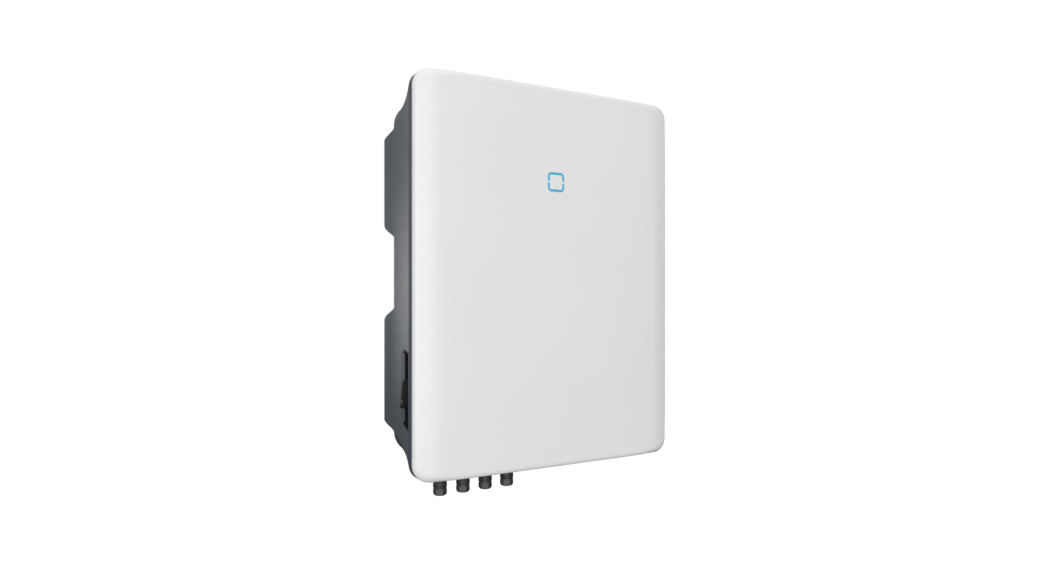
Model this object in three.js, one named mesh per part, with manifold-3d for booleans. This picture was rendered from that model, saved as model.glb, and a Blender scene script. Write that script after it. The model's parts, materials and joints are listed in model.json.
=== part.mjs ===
// Wall-hung string inverter, in millimetres, +Z up.
//
// The pieces are drawn in the case's own frame: x to the right as seen from the front,
// depth d back from the front face towards the wall, z up from the middle of the cover.
// The whole object is then moved so that the origin is the middle of the face of the
// wall bracket that lies against the wall.

import * as THREE from 'three';
import { mergeVertices } from 'three/addons/utils/BufferGeometryUtils.js';
import Module from 'manifold-3d';

// ---------------------------------------------------------------- driving dimensions

const WIDTH = 372;
const HEIGHT = 475;
const WALL_PLANE = 195;          // depth of the wall behind the front face
const OUTLINE_CORNER = 20;       // corner radius of the case seen from the front
const GAP = 0.3;                 // clearance between pieces that touch
const CAP_GAP = 0.9;             // clearance of a screwed cap round its spigot

// front cover
const COVER_END = 13;            // depth of the cover's open edge
const COVER_WALL = 2.5;
const COVER_SIDE_ROUND = 6;      // bevel into the side of the cover
const COVER_BEVEL = 17;          // slope of the long side bevels, degrees
const BEVEL_START = 170;         // half width where the bevel starts
const SHOULDER_ROUND = 70;       // front face into the bevel
const CROWN_SLOPE = 1;           // slope of the front face where that rounding starts, degrees
const CROWN_START = 95;          // half width of the flat middle of the front face
const COVER_END_ROUND = 3;       // rounding of the top and bottom edges

// rear housing
const RIM_FRONT = 16;
const RIM_BACK = 24;
const BODY_END = 148;            // rear edge of the main body
const SIDE_TUCK = 23.3;          // how far the sides draw in behind the rim
const END_TUCK = 8.5;            // the same for the top and bottom
const SWEEP_POWER = 1.6;
const REAR_CORNER = 28;
const REAR_ROUND = 14;
const HOUSING_WALL = 3.5;
const FLANGE = 14;               // width of the rim flange
const CAVITY_END = 112;
const BAY_START = 116;           // the fin bay is open behind this depth
const BAY_HALF_WIDTH = 143;
const SHOULDER_END = 184;        // rear face of the four rear shoulders
const SHOULDER_EDGE = 8;         // their bevel into the sides
const SHOULDERS = [
  { foot: [51.8, 195.7], crest: [71.8, 187] },
  { foot: [-201.3, -37.4], crest: [-191.3, -55.4] },
];
const POCKET_START = 122;        // hollows behind the sides, open towards the fins
const POCKETS = [
  { z: [82, 178], end: 172 }, { z: [-183, -62], end: 172 }, { z: [-46, 66], end: 138 },
];

// heat sink
const SINK_FRONT = 118.3;
const SINK_BASE = 6;
const FIN_END = 178;
const FIN_PITCH = 11;
const FIN_COUNT = 26;
const FIN_THICKNESS = 2.4;
const SINK_HALF_WIDTH = 140;
const SINK_HALF_HEIGHT = 224;
const WINDOW = { x: [-95, 95], z: [-50, 130] };   // opening for the power modules

// wall bracket
const BRACKET_SHEET = 2;
const BRACKET = {
  halfWidth: 130, z: [47.5, 162.5], slotsX: [-104.5, -38.5, 38.5, 104.5], slotsZ: [72, 128],
};
const BRACKET_CENTRE = 105;
const ARM_X = 60.5;
const ARM_WIDTH = 28;
const TAB_TOP = 228;
const LOCK_SCREW_D = 172;

// DC switch, in the left side
const SWITCH = { d: 53, z: -140 };
const RECESS = { d: [28, 78], z: [-180, -91] };
const RECESS_FLOOR = -162;
const BEZEL_WALL = 2;
const KNOB_RADIUS = 18.5;
const KNOB_FACE = -184.5;

// plug deck under the case
const DECK = { z: -229, x: [-152, 152], d: [50, 106] };
const DECK_THICKNESS = 5;
const PV_COUNT = 4;
const PV_X = -125;
const PV_PITCH = 31.7;
const PV_D = 75;
const PV_RADIUS = 8.75;
const PV_END = -263;             // mouth of a solar socket
const PV_CAP_END = -272.8;
const AC_PLUG = { x: 92, d: 78 };
const AC_CAP_END = -250.6;       // lower face of the AC socket's cap
const COM_PLUG = { x: 38, d: 78 };
const DONGLE_PLUG = { x: 3, d: 78 };
const VENT_PLUG = { x: 128, d: 94 };
const EARTH_SCREW = { x: 140, d: 64 };

// status light
const LIGHT_Z = 119;
const LIGHT_OUTER = 12;          // half width of the ring
const LIGHT_STROKE = 2.8;
const LIGHT_CORNER = 5;
const LIGHT_BREAK = 2.6;         // break between the two halves of the ring

// cover screws
const COVER_SCREW_X = 120;
const COVER_SCREW_Z = 232;

// boards
const POWER_BOARD = { x: [-150, 150], z: [-190, 205], d: [97, 99] };
const CONTROL_BOARD = { x: [-112, 112], z: [122, 204], d: [40, 41.6] };
const BOARD_POST_X = 138;
const BOARD_POSTS_Z = [-178, 0, 112];
const CONTROL_POST_X = 104;
const CONTROL_POSTS_Z = [130, 196];
const POST_RADIUS = 4.5;

// ---------------------------------------------------------------- solids and booleans

const wasm = await Module();
wasm.setup();

function solid(geometry) {
  const bare = geometry.clone();
  for (const name of Object.keys(bare.attributes)) {
    if (name !== 'position') bare.deleteAttribute(name);
  }
  const merged = mergeVertices(bare, 1e-4);
  const triangles = [];
  const index = merged.index.array;
  for (let i = 0; i < index.length; i += 3) {
    const [a, b, c] = [index[i], index[i + 1], index[i + 2]];
    if (a !== b && b !== c && c !== a) triangles.push(a, b, c);
  }
  return new wasm.Manifold(new wasm.Mesh({
    numProp: 3,
    vertProperties: new Float32Array(merged.attributes.position.array),
    triVerts: new Uint32Array(triangles),
  }));
}

function geometryOf(body) {
  const mesh = body.getMesh();
  const geometry = new THREE.BufferGeometry();
  geometry.setAttribute('position', new THREE.BufferAttribute(mesh.vertProperties, 3));
  geometry.setIndex(new THREE.BufferAttribute(mesh.triVerts, 1));
  geometry.computeVertexNormals();
  return geometry;
}

function join(first, ...others) {
  return others.reduce((body, other) => body.add(other), first);
}

function cut(first, ...others) {
  return others.reduce((body, other) => body.subtract(other), first);
}

// a block between two values on each axis
function block([x0, x1], [d0, d1], [z0, z1]) {
  const geometry = new THREE.BoxGeometry(x1 - x0, d1 - d0, z1 - z0);
  geometry.translate((x0 + x1) / 2, (d0 + d1) / 2, (z0 + z1) / 2);
  return solid(geometry);
}

// a round bar along x, d or z, from one value to another
function rod(axis, radius, [from, to], [u, v], sides = 12) {
  const geometry = new THREE.CylinderGeometry(radius, radius, to - from, sides);
  const middle = (from + to) / 2;
  if (axis === 'x') geometry.rotateZ(-Math.PI / 2).translate(middle, u, v);
  if (axis === 'd') geometry.translate(u, middle, v);
  if (axis === 'z') geometry.rotateX(Math.PI / 2).translate(u, v, middle);
  return solid(geometry);
}

// a turned piece about a vertical axis: its profile holds [radius, z] pairs and closes
function turnedUpright(profile, [x, d], sides = 14) {
  const points = [...profile, profile[0]].map(([radius, z]) => new THREE.Vector2(radius, z));
  const geometry = new THREE.LatheGeometry(points, sides);
  geometry.rotateX(Math.PI / 2).translate(x, d, 0);
  return orient(solid(geometry), geometry);
}

// a turned piece about an axis along the depth: its profile holds [radius, d] pairs
function turnedInDepth(profile, [x, z], sides = 16) {
  const points = [...profile, profile[0]].map(([radius, d]) => new THREE.Vector2(radius, d));
  const geometry = new THREE.LatheGeometry(points, sides);
  geometry.translate(x, 0, z);
  return orient(solid(geometry), geometry);
}

// turns a lathe's faces outwards when its profile ran the other way round
function orient(body, geometry) {
  if (body.volume() > 0) return body;
  const index = geometry.index.array;
  for (let i = 0; i < index.length; i += 3) [index[i], index[i + 1]] = [index[i + 1], index[i]];
  return solid(geometry);
}

function roundedRect(halfWidth, halfHeight, radius) {
  const shape = new THREE.Shape();
  const [x, y] = [halfWidth - radius, halfHeight - radius];
  shape.absarc(x, y, radius, 0, Math.PI / 2);
  shape.absarc(-x, y, radius, Math.PI / 2, Math.PI);
  shape.absarc(-x, -y, radius, Math.PI, Math.PI * 1.5);
  shape.absarc(x, -y, radius, Math.PI * 1.5, Math.PI * 2);
  shape.closePath();
  return shape;
}

function polygon(points) {
  return new THREE.Shape(points.map(([x, y]) => new THREE.Vector2(x, y)));
}

// a front outline in (x, z) carried back from one depth to another
function plate(shape, [d0, d1], [x, z] = [0, 0], curveSegments = 3) {
  const geometry = new THREE.ExtrudeGeometry(shape, {
    depth: d1 - d0, bevelEnabled: false, curveSegments,
  });
  geometry.rotateX(Math.PI / 2).translate(x, d1, z);
  return solid(geometry);
}

// a plan outline in (x, d) carried up from one height to another
function prismUp(shape, [z0, z1], [x, d] = [0, 0], curveSegments = 3) {
  const geometry = new THREE.ExtrudeGeometry(shape, {
    depth: z1 - z0, bevelEnabled: false, curveSegments,
  });
  geometry.translate(x, d, z0);
  return solid(geometry);
}

// a side outline in (d, z) carried along x
function prismAcross(shape, [x0, x1], bevel = 0, curveSegments = 3) {
  const geometry = new THREE.ExtrudeGeometry(shape, {
    depth: x1 - x0 - 2 * bevel, curveSegments,
    bevelEnabled: bevel > 0, bevelThickness: bevel, bevelSize: bevel, bevelOffset: -bevel,
    bevelSegments: 2,
  });
  geometry.rotateY(Math.PI / 2).rotateX(Math.PI / 2).translate(x0 + bevel, 0, 0);
  return solid(geometry);
}

// a body that passes through rounded rectangles, one for each depth, rear one first
function loft(rings, curveSegments = 4) {
  const unit = { halfWidth: 100, halfHeight: 100, radius: 30 };
  const outline = roundedRect(unit.halfWidth, unit.halfHeight, unit.radius);
  const geometry = new THREE.ExtrudeGeometry(outline, {
    depth: rings.length - 1, steps: rings.length - 1, bevelEnabled: false, curveSegments,
  });
  const position = geometry.attributes.position;
  for (let i = 0; i < position.count; i++) {
    const ring = rings[Math.round(position.getZ(i))];
    const x = stretch(position.getX(i), unit.halfWidth, unit.radius, ring.halfWidth, ring.radius);
    const z = stretch(position.getY(i), unit.halfHeight, unit.radius, ring.halfHeight, ring.radius);
    position.setXYZ(i, x, ring.d, z);
  }
  return solid(geometry);
}

// moves a coordinate of a rounded rectangle onto another one, corner onto corner
function stretch(value, half, radius, newHalf, newRadius) {
  const fromCorner = (Math.abs(value) - (half - radius)) / radius;
  return Math.sign(value) * (newHalf - newRadius + fromCorner * newRadius);
}

function linspace(from, to, count) {
  return Array.from({ length: count }, (_, i) => from + (to - from) * i / (count - 1));
}

const degrees = (angle) => angle * Math.PI / 180;

// ---------------------------------------------------------------- object and finishes

const inverter = new THREE.Group();

const FINISH = {
  white: { color: 0xe4e4e4, roughness: 0.45, metalness: 0.0 },
  darkCast: { color: 0x5c6268, roughness: 0.55, metalness: 0.3 },
  castFins: { color: 0x6a6f74, roughness: 0.6, metalness: 0.5 },
  zincSteel: { color: 0xb4b7b8, roughness: 0.4, metalness: 0.9 },
  screwSteel: { color: 0xc4c4c0, roughness: 0.3, metalness: 0.95 },
  rubber: { color: 0x1c1e20, roughness: 0.9, metalness: 0.0 },
  blackPlastic: { color: 0x26282a, roughness: 0.5, metalness: 0.0 },
  greyPlastic: { color: 0x45484a, roughness: 0.55, metalness: 0.0 },
  light: { color: 0x2fb4e0, roughness: 0.25, metalness: 0.0 },
  circuitBoard: { color: 0x1f5a3a, roughness: 0.5, metalness: 0.0 },
  brass: { color: 0xc9a24a, roughness: 0.35, metalness: 0.9 },
  copper: { color: 0xb36a3c, roughness: 0.4, metalness: 0.8 },
  ferrite: { color: 0x33373a, roughness: 0.7, metalness: 0.1 },
  sleeve: { color: 0x202c4a, roughness: 0.4, metalness: 0.0 },
  ribbon: { color: 0x8d9094, roughness: 0.6, metalness: 0.0 },
};

function add(name, body, finish) {
  const mesh = new THREE.Mesh(geometryOf(body), new THREE.MeshStandardMaterial(FINISH[finish]));
  mesh.name = name;
  inverter.add(mesh);
}

// ---------------------------------------------------------------- shape of the case

// half of the cover's cross-section in (x, d), from the middle out to the side
function coverHalfSection() {
  const slope = degrees(COVER_BEVEL);
  const points = [];
  const side = WIDTH / 2;
  for (const angle of linspace(Math.PI / 2, slope, 4)) {
    points.push([side - COVER_SIDE_ROUND * (1 - Math.sin(angle)),
      COVER_END - COVER_SIDE_ROUND * Math.cos(angle)]);
  }
  const [bevelX, bevelD] = points[points.length - 1];
  const bevelTop = bevelD - (bevelX - BEVEL_START) * Math.tan(slope);
  const crownSlope = degrees(CROWN_SLOPE);
  let last = [];
  for (const angle of linspace(slope, crownSlope, 3)) {
    last = [BEVEL_START - SHOULDER_ROUND * (Math.sin(slope) - Math.sin(angle)),
      bevelTop - SHOULDER_ROUND * (Math.cos(angle) - Math.cos(slope))];
    points.push(last);
  }
  for (const t of [0.5, 0]) {
    points.push([CROWN_START + (last[0] - CROWN_START) * t, last[1] * t * t]);
  }
  return points.reverse();
}

// the whole cross-section down to a depth, moved in by a wall thickness
function coverSection(inset, depth) {
  const half = coverHalfSection().map(([x, d]) => [
    x > BEVEL_START ? x - inset * (x - BEVEL_START) / (WIDTH / 2 - BEVEL_START) : x,
    d + inset,
  ]);
  const edge = half[half.length - 1][0];
  const right = [...half.filter(([, d]) => d < depth), [edge, depth]];
  const left = right.map(([x, d]) => [-x, d]).reverse();
  return polygon([...left, ...right]);
}

// rounded-rectangle rings that round off the front edge of a prism
function roundedFront(inset, front, end) {
  const ring = (d, step) => ({
    d,
    halfWidth: WIDTH / 2 - inset - step,
    halfHeight: HEIGHT / 2 - inset - step,
    radius: OUTLINE_CORNER - inset - step,
  });
  const round = linspace(0, Math.PI / 2, 3).map((angle) => ring(
    front + COVER_END_ROUND * (1 - Math.sin(angle)),
    COVER_END_ROUND * (1 - Math.cos(angle)),
  ));
  return [ring(end, 0), ...round];
}

function tuck(d) {
  const along = Math.min(Math.max((d - RIM_BACK) / (BODY_END - RIM_BACK), 0), 1);
  return 1 - (1 - along) ** SWEEP_POWER;
}

// the housing's outline at a depth, moved in by a wall thickness
function bodyRing(d, inset = 0, step = 0) {
  const t = tuck(d);
  return {
    d,
    halfWidth: WIDTH / 2 - SIDE_TUCK * t - inset - step,
    halfHeight: HEIGHT / 2 - END_TUCK * t - inset - step,
    radius: OUTLINE_CORNER + (REAR_CORNER - OUTLINE_CORNER) * t - Math.min(inset, 20) - step,
  };
}

function bodyLoft() {
  const rear = linspace(0, Math.PI / 2, 3).map((angle) => bodyRing(
    BODY_END - REAR_ROUND * (1 - Math.cos(angle)),
    0,
    REAR_ROUND * (1 - Math.sin(angle)),
  ));
  const sweep = [98, 68, 44, RIM_BACK, RIM_FRONT].map((d) => bodyRing(d));
  return loft([...rear, ...sweep]);
}

// the rear shoulders stand behind the sides of the main body, two on each side
function shoulder({ foot, crest }) {
  const front = BODY_END - 30;
  const outline = new THREE.Shape();
  outline.moveTo(front, foot[0]);
  outline.lineTo(BODY_END - 4, foot[0]);
  outline.lineTo(SHOULDER_END - 9, crest[0] - 2);
  outline.quadraticCurveTo(SHOULDER_END, crest[0] + 3, SHOULDER_END, crest[0] + 14);
  outline.lineTo(SHOULDER_END, crest[1] - 14);
  outline.quadraticCurveTo(SHOULDER_END, crest[1] - 3, SHOULDER_END - 9, crest[1] + 2);
  outline.lineTo(BODY_END - 4, foot[1]);
  outline.lineTo(front, foot[1]);
  outline.closePath();
  const outer = WIDTH / 2 - SIDE_TUCK;
  return prismAcross(outline, [-outer, outer], SHOULDER_EDGE);
}

// ---------------------------------------------------------------- casing

function lightSlots(clearance) {
  return lightHalves(clearance, [-1, COVER_WALL + 1]);
}

// the two halves of the light ring, upper one first
function lightHalves(clearance, depth) {
  const outer = roundedRect(LIGHT_OUTER + clearance, LIGHT_OUTER + clearance,
    LIGHT_CORNER + clearance);
  const inside = LIGHT_OUTER - LIGHT_STROKE - clearance;
  const inner = roundedRect(inside, inside, Math.max(LIGHT_CORNER - LIGHT_STROKE - clearance, 1));
  const centre = [0, LIGHT_Z];
  const ring = cut(plate(outer, depth, centre), plate(inner, [depth[0] - 1, depth[1] + 1], centre));
  const half = LIGHT_BREAK / 2 - clearance;
  const reach = LIGHT_OUTER + 5;
  return [1, -1].map((side) => {
    const [from, to] = [LIGHT_Z + side * half, LIGHT_Z + side * reach];
    return ring.intersect(block([-reach, reach], [depth[0] - 2, depth[1] + 2],
      [Math.min(from, to), Math.max(from, to)]));
  });
}

function coverScrewPlaces() {
  return [[-1, 1], [1, 1], [-1, -1], [1, -1]]
    .map(([x, z]) => [x * COVER_SCREW_X, z * COVER_SCREW_Z]);
}

function frontCover() {
  const outer = prismUp(coverSection(0, COVER_END), [-HEIGHT / 2, HEIGHT / 2])
    .intersect(loft(roundedFront(0, -0.01, COVER_END)));
  const inner = prismUp(coverSection(COVER_WALL, COVER_END + 1), [-HEIGHT / 2, HEIGHT / 2])
    .intersect(loft([{ ...roundedFront(COVER_WALL, 0, COVER_END + 1)[0] },
      { ...roundedFront(COVER_WALL, 0, 0)[0], d: 0 }]));
  const bosses = coverScrewPlaces().map((place) => rod('d', 5, [2, COVER_END], place, 8));
  const posts = [-1, 1].map((side) => rod('d', 2.5, [2, 8.2], [side * 20, LIGHT_Z], 8));
  const body = join(cut(outer, inner), ...bosses, ...posts).intersect(outer);
  const holes = coverScrewPlaces().map((place) => rod('d', 2.1, [6, COVER_END + 1], place, 8));
  add('front_cover', cut(body, ...holes, ...lightSlots(0.2)), 'white');
}

function statusLight() {
  const halves = lightHalves(0, [-0.1, COVER_WALL + 1.5]);
  add('led_guide_upper', halves[0], 'light');
  add('led_guide_lower', halves[1], 'light');
  const board = plate(roundedRect(26, 17, 3), [8.5, 10.1], [0, LIGHT_Z]);
  const leds = linspace(-9, 9, 4).flatMap((x) => [-1, 1].map((side) => block(
    [x - 1.4, x + 1.4], [7, 8.6], [LIGHT_Z + side * 10.6 - 1.2, LIGHT_Z + side * 10.6 + 1.2],
  )));
  add('led_board', join(board, ...leds), 'circuitBoard');
}

function coverGasket() {
  const ring = (inset) => roundedRect(WIDTH / 2 - inset, HEIGHT / 2 - inset,
    OUTLINE_CORNER - inset);
  const [front, back] = [COVER_END + GAP, RIM_FRONT - GAP];
  const holes = coverScrewPlaces().map((place) => rod('d', 3, [front - 1, back + 1], place, 8));
  const body = cut(plate(ring(1), [front, back]), plate(ring(13), [front - 1, back + 1]));
  add('cover_gasket', cut(body, ...holes), 'rubber');
}

// the groove in the top or bottom wall that lets a driver reach a cover screw
function screwWays() {
  const walls = coverScrewPlaces().map((place) => rod('d', 7.5, [RIM_FRONT, 112.5], place, 8));
  const grooves = coverScrewPlaces().map((place) => rod('d', 5.2, [RIM_BACK + 2, 160], place, 8));
  const holes = coverScrewPlaces().map((place) => rod('d', 2.6, [RIM_FRONT - 1, 40], place, 8));
  return { walls, cuts: [...grooves, ...holes] };
}

function recessBlock(grow, [x0, x1]) {
  return block([x0, x1],
    [RECESS.d[0] - BEZEL_WALL - grow, RECESS.d[1] + BEZEL_WALL + grow],
    [RECESS.z[0] - BEZEL_WALL - grow, RECESS.z[1] + BEZEL_WALL + grow]);
}

// every opening in the plug deck: [x, d, radius]
function deckHoles() {
  const sockets = pvPlaces().map(([x, d]) => [x, d, 6.9]);
  return [...sockets,
    [AC_PLUG.x, AC_PLUG.d, 19.8],
    [COM_PLUG.x, COM_PLUG.d, 10],
    [DONGLE_PLUG.x, DONGLE_PLUG.d, 8],
    [VENT_PLUG.x, VENT_PLUG.d, 6.9],
  ];
}

function pvPlaces() {
  return Array.from({ length: PV_COUNT }, (_, i) => [PV_X + i * PV_PITCH, PV_D]);
}

function rearHousing(outside) {
  const cavityRings = [112, 84, 62, 44, RIM_BACK].map((d) => bodyRing(d, HOUSING_WALL));
  const cavity = loft([{ ...cavityRings[0], d: CAVITY_END }, ...cavityRings.slice(1)]);
  const mouth = plate(roundedRect(WIDTH / 2 - FLANGE, HEIGHT / 2 - FLANGE, 12),
    [RIM_FRONT - 1, RIM_BACK + 1]);
  let body = cut(outside, cavity, mouth);
  body = cut(body, block([-BAY_HALF_WIDTH, BAY_HALF_WIDTH], [BAY_START, 200], [-260, 260]));
  const ways = screwWays();
  body = join(body, ...ways.walls.map((wall) => wall.intersect(outside)));
  // flat deck for the sockets, with its step cut into the bottom wall
  body = join(body, block([DECK.x[0] - 4, DECK.x[1] + 4], [DECK.d[0] - 4, CAVITY_END + 1],
    [DECK.z - 0.01, DECK.z + DECK_THICKNESS]));
  body = cut(body, block(DECK.x, DECK.d, [-260, DECK.z]));
  const deckCuts = deckHoles().map(([x, d, radius]) => rod('z', radius,
    [DECK.z - 11, DECK.z + 29], [x, d], radius > 15 ? 16 : 12));
  // the shoulders are hollow towards the fins
  const pockets = [[-159, -140], [140, 159]].flatMap(
    (across) => POCKETS.map(({ z, end }) => block(across, [POCKET_START, end], z)),
  );
  const window = block(WINDOW.x, [CAVITY_END - 2, BAY_START + 2], WINDOW.z);
  const opening = recessBlock(GAP, [-200, RECESS_FLOOR + 4]);
  body = cut(body, ...ways.cuts, ...deckCuts, ...pockets, window, opening);
  const posts = [-1, 1].flatMap((side) => [
    ...BOARD_POSTS_Z.map((z) => rod('d', POST_RADIUS, [POWER_BOARD.d[1] + GAP, 113],
      [side * BOARD_POST_X, z], 8)),
    ...CONTROL_POSTS_Z.map((z) => rod('d', POST_RADIUS, [CONTROL_BOARD.d[1] + GAP, 113],
      [side * CONTROL_POST_X, z], 8)),
  ]);
  body = join(body, ...posts);
  const earthHole = rod('z', 3.2, [DECK.z - 1, DECK.z + DECK_THICKNESS - 1.2],
    [EARTH_SCREW.x, EARTH_SCREW.d], 12);
  add('rear_housing', cut(body, earthHole), 'darkCast');
}

function coverScrews() {
  const names = ['cover_screw_top_left', 'cover_screw_top_right',
    'cover_screw_bottom_left', 'cover_screw_bottom_right'];
  coverScrewPlaces().forEach((place, i) => {
    const head = cut(rod('d', 4, [RIM_BACK + 2 + GAP, RIM_BACK + 6], place, 14),
      rod('d', 1.8, [RIM_BACK + 4, RIM_BACK + 7], place, 6));
    add(names[i], join(rod('d', 1.8, [9, RIM_BACK + 3], place, 10), head), 'screwSteel');
  });
}

// ---------------------------------------------------------------- cooling and mounting

function finPlaces() {
  return linspace(-FIN_PITCH * (FIN_COUNT - 1) / 2, FIN_PITCH * (FIN_COUNT - 1) / 2, FIN_COUNT);
}

function heatSink() {
  const base = plate(roundedRect(SINK_HALF_WIDTH, SINK_HALF_HEIGHT, 8),
    [SINK_FRONT, SINK_FRONT + SINK_BASE]);
  const finRoot = SINK_FRONT + SINK_BASE - 1;
  const half = FIN_THICKNESS / 2;
  const fins = finPlaces().map((x) => block([x - half, x + half], [finRoot, FIN_END],
    [-SINK_HALF_HEIGHT, SINK_HALF_HEIGHT]));
  const rail = block([-112, 112], [FIN_END - 2, 190], [167, 173]);
  const lip = block([-112, 112], [186, 190], [151.3, 168]);
  const lugs = [-1, 1].map((side) => block(
    [side * ARM_X - 9, side * ARM_X + 9], [162, FIN_END], [206, TAB_TOP - BRACKET_SHEET - GAP],
  ));
  const holes = [-1, 1].map((side) => rod('z', 2.3, [213, 230], [side * ARM_X, LOCK_SCREW_D], 12));
  add('heat_sink', cut(join(base, ...fins, rail, lip, ...lugs), ...holes), 'castFins');
}

function heatSinkSeal() {
  const [x0, x1] = WINDOW.x;
  const [z0, z1] = WINDOW.z;
  const centre = [(x0 + x1) / 2, (z0 + z1) / 2];
  const frame = (grow) => roundedRect((x1 - x0) / 2 + grow, (z1 - z0) / 2 + grow, 4 + grow);
  const depth = [BAY_START + GAP, SINK_FRONT - GAP];
  add('heat_sink_seal', cut(plate(frame(9), depth, centre),
    plate(frame(3), [depth[0] - 1, depth[1] + 1], centre)), 'rubber');
}

function wallBracket() {
  const front = WALL_PLANE - BRACKET_SHEET;
  const middle = (BRACKET.z[0] + BRACKET.z[1]) / 2;
  const sheet = plate(roundedRect(BRACKET.halfWidth, (BRACKET.z[1] - BRACKET.z[0]) / 2, 8),
    [front, WALL_PLANE], [0, middle]);
  const arms = [-1, 1].flatMap((side) => {
    const across = [side * ARM_X - ARM_WIDTH / 2, side * ARM_X + ARM_WIDTH / 2];
    return [
      block(across, [front, WALL_PLANE], [BRACKET.z[1] - 5, TAB_TOP]),
      block(across, [162, front + 1], [TAB_TOP - BRACKET_SHEET, TAB_TOP]),
    ];
  });
  const hooks = [-1, 0, 1].flatMap((place) => {
    const across = [place * 85 - 16, place * 85 + 16];
    return [
      block(across, [181.5, front + 1], [149, 151]),
      block(across, [181.5, 183.5], [149, 164]),
    ];
  });
  const returnLip = block([-BRACKET.halfWidth + 10, BRACKET.halfWidth - 10], [front - 9, front + 1],
    [BRACKET.z[0], BRACKET.z[0] + BRACKET_SHEET]);
  const slots = BRACKET.slotsX.flatMap((x) => BRACKET.slotsZ.map((z) => plate(
    roundedRect(7, 4, 3.99), [front - 1, WALL_PLANE + 1], [x, z], 2,
  )));
  const tabHoles = [-1, 1].map((side) => rod('z', 2.7, [TAB_TOP - 4, TAB_TOP + 1],
    [side * ARM_X, LOCK_SCREW_D], 12));
  add('wall_bracket', cut(join(sheet, ...arms, ...hooks, returnLip), ...slots, ...tabHoles),
    'zincSteel');
}

function lockScrews() {
  for (const [name, side] of [['lock_screw_left', -1], ['lock_screw_right', 1]]) {
    const place = [side * ARM_X, LOCK_SCREW_D];
    const head = cut(rod('z', 4.5, [TAB_TOP + GAP, TAB_TOP + 3.4], place, 14),
      rod('z', 1.8, [TAB_TOP + 1.4, TAB_TOP + 5], place, 6));
    add(name, join(rod('z', 2, [214, TAB_TOP + 1], place, 12), head), 'screwSteel');
  }
}

// ---------------------------------------------------------------- DC switch

function dcSwitch(outer) {
  const place = [SWITCH.d, SWITCH.z];
  const tray = recessBlock(0, [-200, RECESS_FLOOR + BEZEL_WALL]).intersect(outer);
  const hollow = block([-200, RECESS_FLOOR], RECESS.d, RECESS.z);
  const shaftHole = rod('x', 7, [RECESS_FLOOR - 1, RECESS_FLOOR + 5], place);
  add('dc_switch_bezel', cut(tray, hollow, shaftHole), 'blackPlastic');

  const discEnd = RECESS_FLOOR - 9;
  const disc = rod('x', KNOB_RADIUS, [discEnd, RECESS_FLOOR - GAP], place, 20);
  const grip = new THREE.Shape();
  grip.moveTo(discEnd + 1, -KNOB_RADIUS + 1);
  grip.lineTo(KNOB_FACE, -KNOB_RADIUS + 1.5);
  grip.lineTo(KNOB_FACE + 3.5, KNOB_RADIUS - 3);
  grip.lineTo(discEnd + 1, KNOB_RADIUS - 1);
  grip.closePath();
  const wing = new THREE.ExtrudeGeometry(grip, { depth: 12, bevelEnabled: false });
  wing.rotateX(Math.PI / 2).translate(0, SWITCH.d + 6, SWITCH.z);
  const bore = block([-175, -161], [SWITCH.d - 4.3, SWITCH.d + 4.3], [SWITCH.z - 4.3, SWITCH.z + 4.3]);
  add('dc_switch_knob', cut(join(disc, orient(solid(wing), wing)), bore), 'blackPlastic');

  const square = block([-174, -148], [SWITCH.d - 4, SWITCH.d + 4], [SWITCH.z - 4, SWITCH.z + 4]);
  add('dc_switch_shaft', square, 'zincSteel');

  const sealX = [RECESS_FLOOR + BEZEL_WALL + GAP, RECESS_FLOOR + BEZEL_WALL + 3];
  add('dc_switch_seal', cut(rod('x', 11, sealX, place, 14),
    rod('x', 6.1, [sealX[0] - 1, sealX[1] + 1], place, 12)), 'rubber');

  const bodyX = [sealX[1] + GAP, -92];
  const socket = rod('x', 6.1, [bodyX[0] - 1, -147], place, 16);
  const decks = [-140, -128, -116, -104].map((x) => block([x, x + 4], [28, 78.5],
    [SWITCH.z - 29, SWITCH.z + 29]));
  const core = block(bodyX, [31, 75], [SWITCH.z - 25, SWITCH.z + 25]);
  add('dc_switch_body', cut(join(core, ...decks), socket), 'greyPlastic');
}

// ---------------------------------------------------------------- plug deck

function hexPrism(acrossFlats, [z0, z1], [x, d]) {
  const geometry = new THREE.CylinderGeometry(acrossFlats / Math.sqrt(3),
    acrossFlats / Math.sqrt(3), z1 - z0, 6);
  geometry.rotateX(Math.PI / 2).translate(x, d, (z0 + z1) / 2);
  return solid(geometry);
}

function pvSockets() {
  const under = DECK.z - GAP;
  pvPlaces().forEach((place, i) => {
    const socket = turnedUpright([
      [3, -238], [3, -214], [6.2, -214], [6.2, under - 0.01], [11, under], [11, under - 4],
      [PV_RADIUS, under - 4], [PV_RADIUS, PV_END], [5.1, PV_END], [5.1, -238],
    ], place, 12);
    const bulkhead = rod('z', 3.5, [-236, -232], place, 8);
    add(`pv_socket_${i + 1}`, join(socket, bulkhead), 'blackPlastic');

    const nut = cut(hexPrism(19, [DECK.z + DECK_THICKNESS + GAP, DECK.z + DECK_THICKNESS + 6], place),
      rod('z', 6.9, [-230, -210], place, 12));
    add(`pv_nut_${i + 1}`, nut, 'blackPlastic');

    const skirt = turnedUpright([[0, PV_END - 3], [PV_RADIUS, PV_END - 3],
      [PV_RADIUS, PV_CAP_END + 3], [6.6, PV_CAP_END], [0, PV_CAP_END]], place, 12);
    const plug = rod('z', 4.6, [PV_END - 3, PV_END + 13], place, 8);
    const neck = rod('z', 7.2, [PV_END - 3.5, PV_END - GAP], place, 12);
    add(`pv_cap_${i + 1}`, join(skirt, plug, neck), 'greyPlastic');
  });
}

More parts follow.
